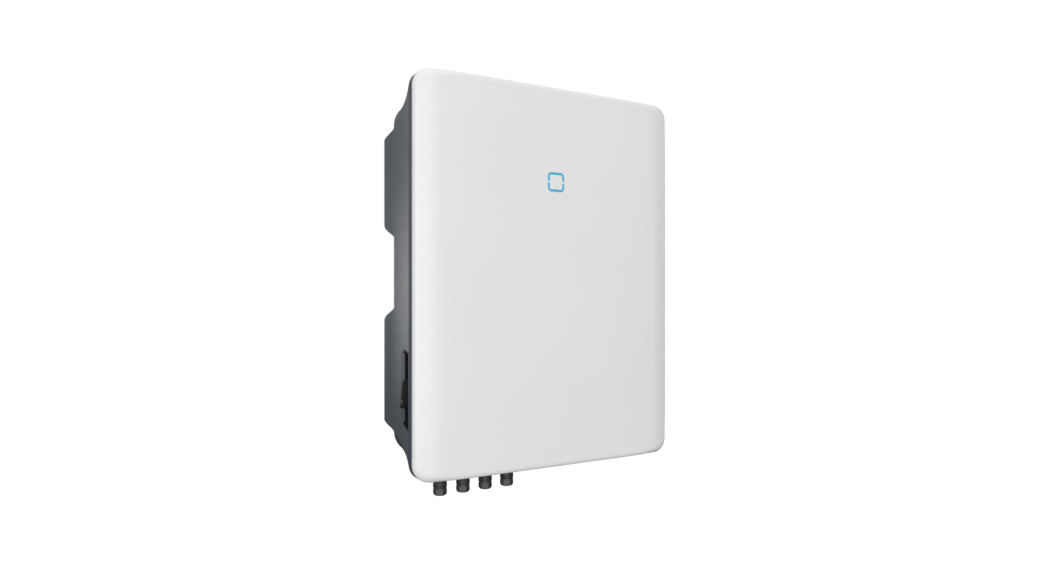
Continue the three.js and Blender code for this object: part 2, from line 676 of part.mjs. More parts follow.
function acPlug() {
  const place = [AC_PLUG.x, AC_PLUG.d];
  const under = DECK.z - GAP;
  const end = AC_CAP_END + 6;
  const face = end + 7;
  const socket = turnedUpright([
    [0, face], [0, -212], [19, -212], [19, under], [25, under], [25, under - 3.5],
    [20.5, under - 3.5], [20.5, end], [17.5, end], [17.5, face],
  ], place, 20);
  const pins = [0, 1, 2, 3, 4].map((i) => rod('z', 2, [end + 1.5, face + 1], [
    place[0] + 9 * Math.cos(degrees(72 * i)), place[1] + 9 * Math.sin(degrees(72 * i)),
  ], 6));
  add('ac_socket', join(socket, ...pins), 'blackPlastic');
  const [nutFrom, nutTo] = [DECK.z + DECK_THICKNESS + GAP, DECK.z + DECK_THICKNESS + 7];
  add('ac_socket_nut', cut(rod('z', 24, [nutFrom, nutTo], place, 16),
    rod('z', 19.8, [nutFrom - 1, nutTo + 1], place, 16)), 'blackPlastic');
  const inside = end - 0.4;
  const cap = turnedUpright([
    [0, AC_CAP_END], [23.4, AC_CAP_END], [24.4, AC_CAP_END + 1], [24.4, -234.6], [20.9, -234.6],
    [20.9, inside], [0, inside],
  ], place, 20);
  const ears = [0, 1].map((i) => {
    const angle = degrees(35 + 180 * i);
    return rod('z', 3.4, [AC_CAP_END + 2, -238], [place[0] + 25 * Math.cos(angle),
      place[1] + 25 * Math.sin(angle)], 8);
  });
  const clear = rod('z', 20.9, [inside, -230], place, 20);
  add('ac_socket_cap', cut(join(cap, ...ears), clear), 'greyPlastic');
}

// a socket with a screwed cap: flange, threaded spigot and ribbed cap
function cappedSocket(name, place, radius, inside) {
  const under = DECK.z - GAP;
  const spigot = radius - 3.2;
  add(`${name}_socket`, turnedUpright([
    [0, -240], [0, -216], [inside, -216], [inside, under], [radius + 2.5, under],
    [radius + 2.5, under - 3], [spigot, under - 3], [spigot, -246], [spigot - 3, -246],
    [spigot - 3, -240],
  ], place), 'blackPlastic');
  const shell = turnedUpright([
    [0, -254], [radius - 1, -254], [radius, -253], [radius, -234], [spigot + CAP_GAP, -234],
    [spigot + CAP_GAP, -246.4], [0, -246.4],
  ], place);
  add(`${name}_cap`, shell, 'greyPlastic');
}

function ventAndEarth() {
  const vent = [VENT_PLUG.x, VENT_PLUG.d];
  const under = DECK.z - GAP;
  const stem = turnedUpright([
    [3, -216], [6, -216], [6, under], [8, under], [8, -236], [6.6, -238.5], [0, -239.5],
    [0, -232], [3, -232],
  ], vent, 16);
  add('breather_vent', join(stem, hexPrism(19, [under - 3.5, under], vent)
    .subtract(rod('z', 5, [-240, -220], vent, 16))), 'greyPlastic');

  const earth = [EARTH_SCREW.x, EARTH_SCREW.d];
  const screw = join(rod('z', 2.9, [under - 2, DECK.z + DECK_THICKNESS - 2], earth, 12),
    rod('z', 6.5, [under - 1.6, under], earth, 16), hexPrism(10, [under - 5.5, under - 1.5], earth));
  add('earth_screw', screw, 'screwSteel');
}

// ---------------------------------------------------------------- electronics

function powerBoard() {
  const { x, z, d } = POWER_BOARD;
  const centre = [(x[0] + x[1]) / 2, (z[0] + z[1]) / 2];
  const sheet = plate(roundedRect((x[1] - x[0]) / 2, (z[1] - z[0]) / 2, 6), d, centre);
  const holes = [-1, 1].flatMap((side) => CONTROL_POSTS_Z.map((height) => rod('d',
    POST_RADIUS + 1, [d[0] - 1, d[1] + 1], [side * CONTROL_POST_X, height], 8)));
  add('power_board', cut(sheet, ...holes), 'circuitBoard');
}

function controlBoard() {
  const { x, z, d } = CONTROL_BOARD;
  const centre = [(x[0] + x[1]) / 2, (z[0] + z[1]) / 2];
  const sheet = plate(roundedRect((x[1] - x[0]) / 2, (z[1] - z[0]) / 2, 4), d, centre);
  const front = d[0];
  const chips = [[-60, 165, 14, 14], [-20, 170, 10, 10], [30, 160, 7, 12], [70, 175, 9, 6]]
    .map(([cx, cz, w, h]) => block([cx - w, cx + w], [front - 2.5, front + 0.5],
      [cz - h, cz + h]));
  const header = block([-12, 12], [front - 7, front + 0.5], [128, 134]);
  add('control_board', join(sheet, ...chips, header), 'circuitBoard');

  // flat ribbon from the control board to the light board, in one bent strip
  const width = 14;
  const strip = prismAcross(polygon([
    [10.5, 122], [11.3, 122], [11.3, 126], [30, 126.8], [32.7, 126.8], [32.7, 134], [32, 134],
    [32, 127.6], [30, 127.6], [10.5, 126.8],
  ]), [-width / 2, width / 2]);
  add('light_ribbon', strip, 'ribbon');
}

function capacitors() {
  const seat = POWER_BOARD.d[0] - GAP;
  [-66, -22, 22, 66].forEach((x, i) => {
    const can = turnedInDepth([[0, seat], [17, seat], [17.5, seat - 1], [17.5, seat - 49],
      [16, seat - 50.5], [0, seat - 50.5]], [x, 66], 14);
    add(`dc_link_capacitor_${i + 1}`, can, 'sleeve');
  });
}

// a wound ring core lying against the power board, with its potting cup
function ringChoke(name, [x, z], radius, height) {
  const seat = POWER_BOARD.d[0] - GAP;
  const hole = radius * 0.42;
  add(name, turnedInDepth([
    [hole, seat], [radius - 3, seat], [radius, seat - 4], [radius, seat - height + 5],
    [radius - 5, seat - height], [hole + 3, seat - height], [hole, seat - height + 4],
  ], [x, z]), 'copper');
}

function magnetics() {
  ringChoke('boost_inductor_1', [-106, 8], 34, 44);
  ringChoke('boost_inductor_2', [-28, 8], 34, 44);
  ringChoke('dc_emi_choke', [-72, -68], 24, 34);
  ringChoke('ac_emi_choke', [110, -160], 24, 34);
  const seat = POWER_BOARD.d[0] - GAP;
  [-15, 45, 105].forEach((x, i) => {
    const core = block([x - 25, x + 25], [seat - 46, seat], [-128, -72]);
    const coil = plate(roundedRect(16, 34, 8), [seat - 52, seat - 4], [x, -100]);
    add(`ac_filter_inductor_${i + 1}`, join(core, coil), 'ferrite');
  });
}

function modulesAndRelays() {
  const seat = POWER_BOARD.d[1] + GAP;
  const back = SINK_FRONT - GAP;
  const module = (x, z) => join(
    block(x, [back - 12, back], z),
    block([x[0] + 6, x[1] - 6], [seat, back - 11], [z[0] + 5, z[1] - 5]),
  );
  add('boost_module', module([-85, -20], [30, 100]), 'blackPlastic');
  add('inverter_module', module([5, 88], [10, 112]), 'blackPlastic');
  [48, 88, 128].forEach((x, i) => {
    const face = POWER_BOARD.d[0] - GAP;
    add(`grid_relay_${i + 1}`, block([x - 15, x + 15], [face - 24, face], [-30, -8]),
      'blackPlastic');
  });
}

// ---------------------------------------------------------------- assembly

const outerBody = join(bodyLoft(), ...SHOULDERS.map(shoulder));

frontCover();
coverGasket();
statusLight();
rearHousing(outerBody);
coverScrews();
heatSink();
heatSinkSeal();
wallBracket();
lockScrews();
dcSwitch(outerBody);
pvSockets();
acPlug();
cappedSocket('com', [COM_PLUG.x, COM_PLUG.d], 15, 9.2);
cappedSocket('dongle', [DONGLE_PLUG.x, DONGLE_PLUG.d], 12, 7.2);
ventAndEarth();
powerBoard();
controlBoard();
capacitors();
magnetics();
modulesAndRelays();

inverter.position.set(0, -WALL_PLANE, -BRACKET_CENTRE);

export default inverter;
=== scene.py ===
# Looks of the wall-hung string inverter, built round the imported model.
#
# Shapes are worked out in millimetres in the case's own frame and placed in metres:
# x to the right as seen from the front, d back from the front face, z up from the
# middle of the cover.

import json
import math

import bmesh
import bpy
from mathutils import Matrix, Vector


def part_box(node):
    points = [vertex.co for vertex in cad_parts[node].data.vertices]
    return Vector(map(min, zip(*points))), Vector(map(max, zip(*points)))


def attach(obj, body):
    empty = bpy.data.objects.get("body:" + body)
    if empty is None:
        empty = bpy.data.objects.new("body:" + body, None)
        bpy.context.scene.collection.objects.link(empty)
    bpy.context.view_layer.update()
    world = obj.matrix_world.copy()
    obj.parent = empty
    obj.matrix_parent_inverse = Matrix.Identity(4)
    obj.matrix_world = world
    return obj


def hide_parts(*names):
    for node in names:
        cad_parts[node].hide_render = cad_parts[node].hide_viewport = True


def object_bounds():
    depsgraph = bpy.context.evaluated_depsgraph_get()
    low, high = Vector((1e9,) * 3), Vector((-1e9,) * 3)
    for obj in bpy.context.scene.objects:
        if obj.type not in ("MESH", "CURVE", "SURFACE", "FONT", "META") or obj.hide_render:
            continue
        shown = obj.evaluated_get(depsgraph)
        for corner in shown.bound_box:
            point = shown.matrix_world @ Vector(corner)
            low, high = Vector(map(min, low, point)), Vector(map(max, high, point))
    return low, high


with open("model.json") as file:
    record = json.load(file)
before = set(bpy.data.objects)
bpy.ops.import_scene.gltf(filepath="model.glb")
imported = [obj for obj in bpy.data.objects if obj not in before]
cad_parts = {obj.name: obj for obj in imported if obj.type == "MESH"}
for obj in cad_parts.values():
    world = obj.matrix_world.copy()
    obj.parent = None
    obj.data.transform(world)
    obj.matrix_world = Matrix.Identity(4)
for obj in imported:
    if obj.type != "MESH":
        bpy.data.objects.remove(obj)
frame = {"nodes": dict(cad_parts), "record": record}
cad_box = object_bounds()

# ---- frame and sizes

MM = 0.001
cover_low, cover_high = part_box("front_cover")
FRONT_Y = cover_low.y
CENTRE_Z = (cover_low.z + cover_high.z) / 2

HALF_W = cover_high.x / MM
HALF_H = (cover_high.z - cover_low.z) / 2 / MM
SEAM = (cover_high.y - FRONT_Y) / MM


def case_box(node):
    """Lowest and highest corner of a CAD node, in millimetres in the case's frame."""
    low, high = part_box(node)
    return [Vector((p.x / MM, (p.y - FRONT_Y) / MM, (p.z - CENTRE_Z) / MM)) for p in (low, high)]


def middle(node):
    low, high = case_box(node)
    return (low + high) / 2


def plan_place(node):
    """Where a node's middle lies seen from below, as (x, d)."""
    return tuple(middle(node).xy)


def front_place(node):
    """Where a node's middle lies seen from the front, as (x, z)."""
    return tuple(middle(node).xz)


def at(x, d, z):
    """A point of the case's frame, in metres in the row's frame."""
    return Vector((x * MM, FRONT_Y + d * MM, CENTRE_Z + z * MM))


RIM_FRONT, SHOULDER_END = (corner.y for corner in case_box("rear_housing"))
DECK_Z = case_box("pv_nut_1")[0].z - 5.3
UNDER_DECK = DECK_Z - 0.3
KNOB = middle("dc_switch_shaft")
COVER_SCREWS = [f"cover_screw_{corner}" for corner in
                ("top_left", "top_right", "bottom_left", "bottom_right")]

# cover: its long sides fall back in a bevel, its ends are only rounded
OUTLINE_CORNER = 20.0
COVER_WALL = 2.5
CROWN_START = 95.0
BEVEL_START = 170.0
BEVEL_SLOPE = math.radians(17)
CROWN_SLOPE = math.radians(1)
SHOULDER_ROUND = 70.0
SIDE_ROUND = 6.0
END_ROUND = 3.2
CORNER_EXTRA = 5.0
CORNER_FROM = 128.0
CORNER_OVER = 40.0

# housing: it draws in behind the rim, and has two rear shoulders on each side
RIM_BACK = 24.0
BODY_END = 148.0
HOUSING_WALL = 3.5
DECK_THICKNESS = 5.0
SHOULDER_EDGE = 8.0
FOOT_EASE = 0.12
CREST_EASE = 0.5
SIDE_REACH = 200.0
SIDE_TUCK = 23.3
END_TUCK = 8.5
SWEEP_POWER = 1.6
REAR_CORNER = 29.5
REAR_ROUND = 12.0
BAY_FLOOR = 116.0
BAY_HALF_WIDTH = 143.0
CAVITY_FLOOR = 112.0
FLANGE = 14.0
MOUTH_CORNER = 12.0
POCKET_SIDES = (140, 159)
POCKET_START = 122.0
POST_RADII = (3.9, 4.5, 4.9)

# each rear shoulder from its lower foot to its upper foot: foot, crest, crest, foot
SHOULDERS = [(53.0, 73.0, 187.0, 195.7), (-200.1, -190.1, -56.4, -38.4)]

# hollows behind the sides: lower end, upper end, depth
POCKETS = [(82, 178, 172), (-183, -62, 172), (-46, 66, 138)]

# posts that carry the boards: board, distance from the middle, heights
POSTS = [("power_board", 138, (-178, 0, 112)), ("control_board", 104, (130, 196))]

# cover screws: hole, way for the screwdriver, wall round that way, boss and thread in the cover
SCREW_HOLE = 2.6
DRIVER_WAY = 5.2
DRIVER_WALL = 7.5
SCREW_BOSS = 5.0
SCREW_THREAD = 2.1

# radius of each hole through the deck, by the node that goes through it
DECK_HOLES = {
    "pv_nut_1": 6.9, "pv_nut_2": 6.9, "pv_nut_3": 6.9, "pv_nut_4": 6.9,
    "ac_socket_nut": 19.8, "com_cap": 10.0, "dongle_cap": 8.0, "breather_vent": 6.9,
}

# DC switch
BEYOND_SIDE = -200.0
BEZEL_WALL = 2.0
BEZEL_CORNER = 3.7
SCOOP_DEPTH = 2.2
SCOOP_LENGTH = 19.0
KNOB_BASE = 8.7
KNOB_RADIUS = 18.5
KNOB_RIBS = 30
RIB_DEPTH = 0.35
GRIP_HALF = 6.0
GRIP_TAPER = 0.22
MARK_HALF = 0.9
MARK_DEPTH = 1.0
SHAFT_HALF = 4.3

# plugs: radii, widths across flats, and the heights where barrels, bores and caps end
PV_RADIUS = 8.75
PV_FLANGE = 11.0
PV_FLATS = 15.4
PV_THREAD = 6.2
PV_TOP = -214.0
PV_BORE_TOP = -232.0
NUT_FLATS = 19.0
AC_BARREL = 20.5
AC_CAP_RADIUS = 24.4
AC_CAP_BORE = 20.9
EAR_TOP = -238.0
PORT_TOP = -216.0
PORT_BORE = -246.0

# edges of the pieces that keep their CAD shape
EDGE_WIDTHS = {
    "heat_sink": 0.5, "wall_bracket": 0.35, "lock_screw_left": 0.3, "lock_screw_right": 0.3,
    "boost_module": 0.6, "inverter_module": 0.6, "dc_switch_body": 0.6,
    "grid_relay_1": 0.6, "grid_relay_2": 0.6, "grid_relay_3": 0.6,
}

# camera and studio
EYE = (-483.0, -761.8, -25.4)
VIEW_TURN = math.radians(29.82)
LENS = 24.73
SENSOR = 36.0
HORIZON_SHIFT = 0.0144
FLOOR_DROP = 0.62
FLOOR_TONE = 0.08
DOME_LIGHT = 0.62
GUIDE_GLOW = 0.4

# each light: name, place in metres, width, power
LIGHTS = [
    ("key", (-2.35, -4.56, -0.12), 2.8, 193),
    ("rear", (-0.35, 3.0, -0.15), 1.0, 5),
    ("top", (0.2, -0.3, 2.0), 1.2, 4),
]


# ---- mesh helpers

def linspace(start, end, count):
    return [start + (end - start) * i / (count - 1) for i in range(count)]


def smoothstep(t):
    t = min(max(t, 0.0), 1.0)
    return t * t * (3 - 2 * t)


def new_object(name, points, faces, sharp=30):
    """A closed mesh from points of the case's frame, shaded smooth up to an angle."""
    mesh = bpy.data.meshes.new(name)
    mesh.from_pydata([at(*p) for p in points], [], faces)
    obj = bpy.data.objects.new(name, mesh)
    bpy.context.scene.collection.objects.link(obj)
    weld(obj, 2e-5, outward=True)
    shade(obj, sharp)
    return obj


def weld(obj, distance, outward=False):
    """Merges points that lie together, and turns the faces outwards if asked."""
    bm = bmesh.new()
    bm.from_mesh(obj.data)
    bmesh.ops.remove_doubles(bm, verts=bm.verts, dist=distance)
    bmesh.ops.dissolve_degenerate(bm, edges=bm.edges, dist=1e-6)
    if outward:
        bmesh.ops.recalc_face_normals(bm, faces=bm.faces)
    bm.to_mesh(obj.data)
    bm.free()


def shade(obj, sharp):
    obj.data.shade_smooth()
    bm = bmesh.new()
    bm.from_mesh(obj.data)
    limit = math.radians(sharp)
    for edge in bm.edges:
        edge.smooth = edge.is_manifold and edge.calc_face_angle(0) < limit
    bm.to_mesh(obj.data)
    bm.free()


def apply_modifiers(obj):
    depsgraph = bpy.context.evaluated_depsgraph_get()
    mesh = bpy.data.meshes.new_from_object(obj.evaluated_get(depsgraph))
    obj.modifiers.clear()
    obj.data = mesh


def add_bevel(obj, width, segments=2):
    """Takes off the edges sharper than 35 degrees."""
    bevel = obj.modifiers.new("edge", "BEVEL")
    bevel.width = width * MM
    bevel.segments = segments
    bevel.limit_method = "ANGLE"
    bevel.angle_limit = math.radians(35)
    bevel.harden_normals = False


def combine(obj, operation, cutters):
    """Joins or cuts an object with others, which are used up."""
    for cutter in cutters:
        modifier = obj.modifiers.new("combine", "BOOLEAN")
        modifier.operation = operation
        modifier.solver = "EXACT"
        modifier.object = cutter
        apply_modifiers(obj)
        weld(obj, 2e-6)
        bpy.data.objects.remove(cutter)


def strips(rows):
    """Faces between rows of equal length, each of which closes on itself."""
    count = len(rows[0])
    faces = []
    for i in range(len(rows) - 1):
        for j in range(count):
            k = (j + 1) % count
            faces.append((i * count + j, i * count + k, (i + 1) * count + k, (i + 1) * count + j))
    return faces


def oriented(axis, u, v, along):
    """A point given by where it lies across an axis and along it. Across z lie x and d, across
    d lie x and z, and across x lie d and z."""
    return {"z": (u, v, along), "d": (u, along, v), "x": (along, u, v)}[axis]


def polar(place, radius, angle):
    return place[0] + radius * math.cos(angle), place[1] + radius * math.sin(angle)


def lathe(name, profile, axis, place, sides=48, sharp=30, reshape=None):
    """A turned piece. The profile holds (radius, along) pairs and starts and ends at radius 0,
    or closes on itself. The axis is x, d or z, and place gives the other two coordinates.
    A reshape function gives flutes and ribs: it changes a radius by height and angle."""
    rows = []
    for radius, along in profile:
        row = []
        for j in range(sides):
            angle = 2 * math.pi * j / sides
            reach = reshape(radius, along, angle) if reshape else radius
            row.append(oriented(axis, *polar(place, reach, angle), along))
        rows.append(row)
    if profile[0][0] > 0 or profile[-1][0] > 0:
        rows.append(rows[0])
    return new_object(name, [p for row in rows for p in row], strips(rows), sharp)


def bar(radius, low, high, axis, place, sides=32):
    """A plain round bar, often used as a bore."""
    profile = [(0, low), (radius, low), (radius, high), (0, high)]
    return lathe("bar", profile, axis, place, sides)


def capped(name, rows, sharp=30):
    """A solid through rows of points, closed by a flat face at each end."""
    count = len(rows[0])
    faces = strips(rows)
    faces.append(tuple(range(count)))
    faces.append(tuple((len(rows) - 1) * count + j for j in range(count)))
    return new_object(name, [p for row in rows for p in row], faces, sharp)


def prism(name, points, low, high, axis):
    """A flat outline carried along an axis."""
    rows = [[oriented(axis, u, v, along) for u, v in points] for along in (low, high)]
    return capped(name, rows)


def rounded(profile, radius, steps=3):
    """Rounds the inner corners of an open profile by a radius, corner by corner."""
    out = [profile[0]]
    for before, corner, after in zip(profile, profile[1:], profile[2:]):
        c = Vector(corner)
        back, ahead = Vector(before) - c, Vector(after) - c
        reach = min(radius, back.length * 0.45, ahead.length * 0.45)
        start, end = c + back.normalized() * reach, c + ahead.normalized() * reach
        for t in linspace(0, 1, steps + 1):
            out.append(tuple(start * (1 - t) ** 2 + c * 2 * t * (1 - t) + end * t * t))
    out.append(profile[-1])
    return out


def outline(half_w, half_h, radius, corner=12, side=24, end=20):
    """Points (x, z) round a rounded rectangle, with the same count for every size."""
    straight_x, straight_z = half_w - radius, half_h - radius
    points = []
    for quarter in range(4):
        sign_x = 1 if quarter in (0, 3) else -1
        sign_z = 1 if quarter in (0, 1) else -1
        start = quarter * math.pi / 2
        for i in range(corner):
            angle = start + math.pi / 2 * i / corner
            points.append((sign_x * straight_x + radius * math.cos(angle),
                           sign_z * straight_z + radius * math.sin(angle)))
        steps = end if quarter % 2 == 0 else side
        for i in range(steps):
            t = 1 - 2 * i / steps
            if quarter % 2 == 0:
                points.append((sign_x * straight_x * t, sign_z * half_h))
            else:
                points.append((sign_x * half_w, sign_z * straight_z * t))
    return points


def rounded_slab(name, low, high, radius, axis):
    """A block with rounded corners in the plane across an axis."""
    order = {"d": (0, 2, 1), "x": (1, 2, 0), "z": (0, 1, 2)}[axis]
    u0, v0, start = (low[i] for i in order)
    u1, v1, end = (high[i] for i in order)
    ring = outline((u1 - u0) / 2, (v1 - v0) / 2, radius, 6, 1, 1)
    points = [((u0 + u1) / 2 + u, (v0 + v1) / 2 + v) for u, v in ring]
    return prism(name, points, start, end, axis)


def merged(objects):
    """Puts meshes that don't meet into one object."""
    first = objects[0]
    bm = bmesh.new()
    for obj in objects:
        bm.from_mesh(obj.data)
    bm.to_mesh(first.data)
    bm.free()
    for obj in objects[1:]:
        bpy.data.objects.remove(obj)
    return first


# ---- materials

def principled(mat):
    return mat.node_tree.nodes["Principled BSDF"]


def material(name, colour, roughness, metallic=0.0, **sockets):
    """A Principled material with its own node tree."""
    mat = bpy.data.materials.new(name)
    mat.use_nodes = True
    shader = principled(mat)
    shader.inputs["Base Color"].default_value = (*colour, 1)
    shader.inputs["Roughness"].default_value = roughness
    shader.inputs["Metallic"].default_value = metallic
    for socket, value in sockets.items():
        shader.inputs[socket.replace("_", " ")].default_value = value
    return mat


def node(mat, kind, **settings):
    made = mat.node_tree.nodes.new(kind)
    for key, value in settings.items():
        if key in made.inputs:
            made.inputs[key].default_value = value
        else:
            setattr(made, key, value)
    return made


def link(mat, source, output, target, socket):
    mat.node_tree.links.new(source.outputs[output], target.inputs[socket])


def noise(mat, scale, detail, stretch=(1, 1, 1)):
    """Noise over the piece's own coordinates, in metres; scale is features per metre."""
    place = node(mat, "ShaderNodeTexCoord")
    mapping = node(mat, "ShaderNodeMapping", Scale=stretch)
    texture = node(mat, "ShaderNodeTexNoise", Scale=scale, Detail=detail)
    link(mat, place, "Object", mapping, "Vector")
    link(mat, mapping, "Vector", texture, "Vector")
    return texture


def vary_colour(mat, texture, dark, light, low=0.35, high=0.65, output="Fac"):
    """Colour that drifts between two tones with a texture."""
    tones = node(mat, "ShaderNodeValToRGB")
    tones.color_ramp.elements[0].position = low
    tones.color_ramp.elements[0].color = (*dark, 1)
    tones.color_ramp.elements[1].position = high
    tones.color_ramp.elements[1].color = (*light, 1)
    link(mat, texture, output, tones, "Fac")
    link(mat, tones, "Color", principled(mat), "Base Color")
    return tones


def vary_roughness(mat, texture, low, high):
    spread = node(mat, "ShaderNodeMapRange")
    spread.inputs["To Min"].default_value = low
    spread.inputs["To Max"].default_value = high
    link(mat, texture, "Fac", spread, "Value")
    link(mat, spread, "Result", principled(mat), "Roughness")


def bump(mat, texture, height):
    """Bump of a height in millimetres from a texture."""
    made = node(mat, "ShaderNodeBump", Strength=1.0, Distance=height * MM)
    link(mat, texture, "Fac", made, "Height")
    shader = principled(mat)
    before = shader.inputs["Normal"].links
    if before:
        mat.node_tree.links.new(before[0].from_socket, made.inputs["Normal"])
    link(mat, made, "Normal", shader, "Normal")


def tone(colour, factor):
    return tuple(min(channel * factor, 1.0) for channel in colour)


def grained(mat, colour, drift, grains, gloss=None):
    """Gives a material its drift of tone, its drift of gloss and its fine relief.
    Tone: noise scale, detail, darkest, lightest. Relief: noise scale, detail, height.
    Gloss: noise scale, detail, and how far roughness falls and rises."""
    scale, detail, dark, light = drift
    vary_colour(mat, noise(mat, scale, detail), tone(colour, dark), tone(colour, light))
    if gloss:
        scale, detail, fall, rise = gloss
        rough = principled(mat).inputs["Roughness"].default_value
        vary_roughness(mat, noise(mat, scale, detail), rough - fall, rough + rise)
    for scale, detail, height in grains:
        bump(mat, noise(mat, scale, detail), height)
    return mat


def painted(name, colour, roughness, grain, height, drift=0.03):
    """Sprayed or powder paint: fine orange peel, faint drift of tone and gloss."""
    mat = material(name, colour, roughness)
    return grained(mat, colour, (9, 2, 1 - drift, 1 + drift), [(grain, 2, height)],
                   (40, 3, 0.04, 0.04))


def moulded(name, colour, roughness, specular=0.5):
    """Moulded plastic with a spark-eroded texture."""
    mat = material(name, colour, roughness, Specular_IOR_Level=specular)
    return grained(mat, colour, (60, 3, 0.92, 1.1), [(2600, 2, 0.02)], (300, 2, 0.06, 0.06))


def cast(name, colour, roughness, metallic=0.0):
    """Painted die casting: slight grain of the casting under a thin matt coat."""
    mat = material(name, colour, roughness, metallic)
    return grained(mat, colour, (14, 4, 0.94, 1.06), [(700, 3, 0.03), (2200, 2, 0.012)],
                   (120, 3, 0.05, 0.07))


def rubber(name, colour):
    return grained(material(name, colour, 0.8), colour, (150, 3, 0.8, 1.25), [(1500, 2, 0.03)])


def zinc(name, colour, roughness):
    """Zinc-plated sheet: patches of crystal tone under fine rolling lines."""
    mat = material(name, colour, roughness, metallic=1.0)
    place = node(mat, "ShaderNodeTexCoord")
    cells = node(mat, "ShaderNodeTexVoronoi", Scale=90.0)
    link(mat, place, "Object", cells, "Vector")
    vary_colour(mat, cells, tone(colour, 0.86), tone(colour, 1.08), 0.0, 1.0, "Color")
    vary_roughness(mat, noise(mat, 50, 3), roughness - 0.08, roughness + 0.1)
    bump(mat, noise(mat, 200, 2, (1, 1, 12)), 0.01)
    return mat


def turned_steel(name, colour, roughness):
    mat = material(name, colour, roughness, metallic=1.0)
    vary_colour(mat, noise(mat, 400, 2, (1, 1, 6)), tone(colour, 0.85), tone(colour, 1.1))
    vary_roughness(mat, noise(mat, 250, 2), roughness - 0.06, roughness + 0.12)
    bump(mat, noise(mat, 900, 2), 0.01)
    return mat


def light_guide(name, colour, glow):
    """Clear tinted guide, lit from behind, its glow drifting a little in tone."""
    mat = material(name, colour, 0.22)
    shader = principled(mat)
    shader.inputs["Emission Strength"].default_value = GUIDE_GLOW
    tones = vary_colour(mat, noise(mat, 120, 1), tone(glow, 0.9), tone(glow, 1.08), 0.0, 1.0)
    link(mat, tones, "Color", shader, "Emission Color")
    return mat


def circuit_board(name, colour):
    """Solder mask over copper: blocks of slightly raised track."""
    mat = material(name, colour, 0.4)
    place = node(mat, "ShaderNodeTexCoord")
    bricks = node(mat, "ShaderNodeTexBrick", Scale=60.0)
    bricks.inputs["Color1"].default_value = (*colour, 1)
    bricks.inputs["Color2"].default_value = (*tone(colour, 1.3), 1)
    bricks.inputs["Mortar"].default_value = (*tone(colour, 0.6), 1)
    link(mat, place, "Object", bricks, "Vector")
    link(mat, bricks, "Color", principled(mat), "Base Color")
    vary_roughness(mat, noise(mat, 200, 2), 0.32, 0.5)
    return mat


def wound(name, colour):
    """Enamelled wire in tight turns. Its colour darkens in the low grooves between the turns:
    painted shade.
    """
    mat = material(name, colour, 0.35, metallic=0.8)
    place = node(mat, "ShaderNodeTexCoord")
    turns_and_shade = node(mat, "ShaderNodeTexWave", Scale=160.0, Distortion=0.4)
    link(mat, place, "Object", turns_and_shade, "Vector")
    # painted shade: the colour falls to 0.55 of the wire's tone where the bump is low, between
    # the turns
    vary_colour(mat, turns_and_shade, tone(colour, 0.55), colour, 0.2, 0.8)
    bump(mat, turns_and_shade, 0.4)
    return mat


def slot_colour(slot):
    """Base colour of one of the record's material slots."""
    for entry in frame["record"]["materials"]:
        if entry["slot"] == slot:
            return tuple(entry["base_color"][:3])
    raise KeyError(slot)


MATERIALS = {
    "cover_white": painted("cover_paint", (0.80, 0.80, 0.80), 0.45, 1400, 0.010, 0.006),
    "housing_grey": cast("housing_coat", (0.058, 0.075, 0.093), 0.5),
    "cast_fins": cast("fin_coat", (0.070, 0.078, 0.087), 0.55),
    "zinc_steel": zinc("zinc_sheet", (0.62, 0.63, 0.64), 0.38),
    "screw_steel": turned_steel("screw_steel", (0.66, 0.66, 0.64), 0.3),
    "seal_rubber": rubber("seal_rubber", (0.035, 0.038, 0.042)),
    "black_plastic": moulded("black_plastic", (0.032, 0.033, 0.035), 0.5),
    "mark_paint": painted("mark_paint", (0.55, 0.56, 0.57), 0.5, 900, 0.01),
    "switch_black": moulded("switch_black", (0.009, 0.010, 0.011), 0.65, specular=0.12),
    "grey_plastic": moulded("grey_plastic", (0.055, 0.057, 0.060), 0.5),
    "light_guide": light_guide("light_guide", (0.03, 0.30, 0.45), (0.035, 0.32, 0.50)),
    "circuit_board": circuit_board("circuit_board", slot_colour("circuit_board")),
    "ribbon": moulded("ribbon_cable", slot_colour("ribbon"), 0.5),
    "capacitor_sleeve": painted("capacitor_sleeve", slot_colour("capacitor_sleeve"), 0.3, 500,
                                0.02),
    "copper_winding": wound("copper_winding", slot_colour("copper_winding")),
    "iron_core": cast("iron_core", slot_colour("iron_core"), 0.6, 0.3),
}


def place_piece(obj, slot, body, *nodes, look=None):
    """Gives a piece its material and its body, and lets it stand for CAD nodes."""
    obj.data.materials.clear()
    obj.data.materials.append(MATERIALS[look or slot])
    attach(obj, body)
    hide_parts(*nodes)


# ---- front cover

BEVEL_END = (HALF_W - SIDE_ROUND * (1 - math.sin(BEVEL_SLOPE)),
             SEAM - SIDE_ROUND * math.cos(BEVEL_SLOPE))
BEVEL_TOP = BEVEL_END[1] - (BEVEL_END[0] - BEVEL_START) * math.tan(BEVEL_SLOPE)
ARC_CENTRE = (BEVEL_START - SHOULDER_ROUND * math.sin(BEVEL_SLOPE),
              BEVEL_TOP + SHOULDER_ROUND * math.cos(BEVEL_SLOPE))
CROWN_END = (ARC_CENTRE[0] + SHOULDER_ROUND * math.sin(CROWN_SLOPE),
             ARC_CENTRE[1] - SHOULDER_ROUND * math.cos(CROWN_SLOPE))


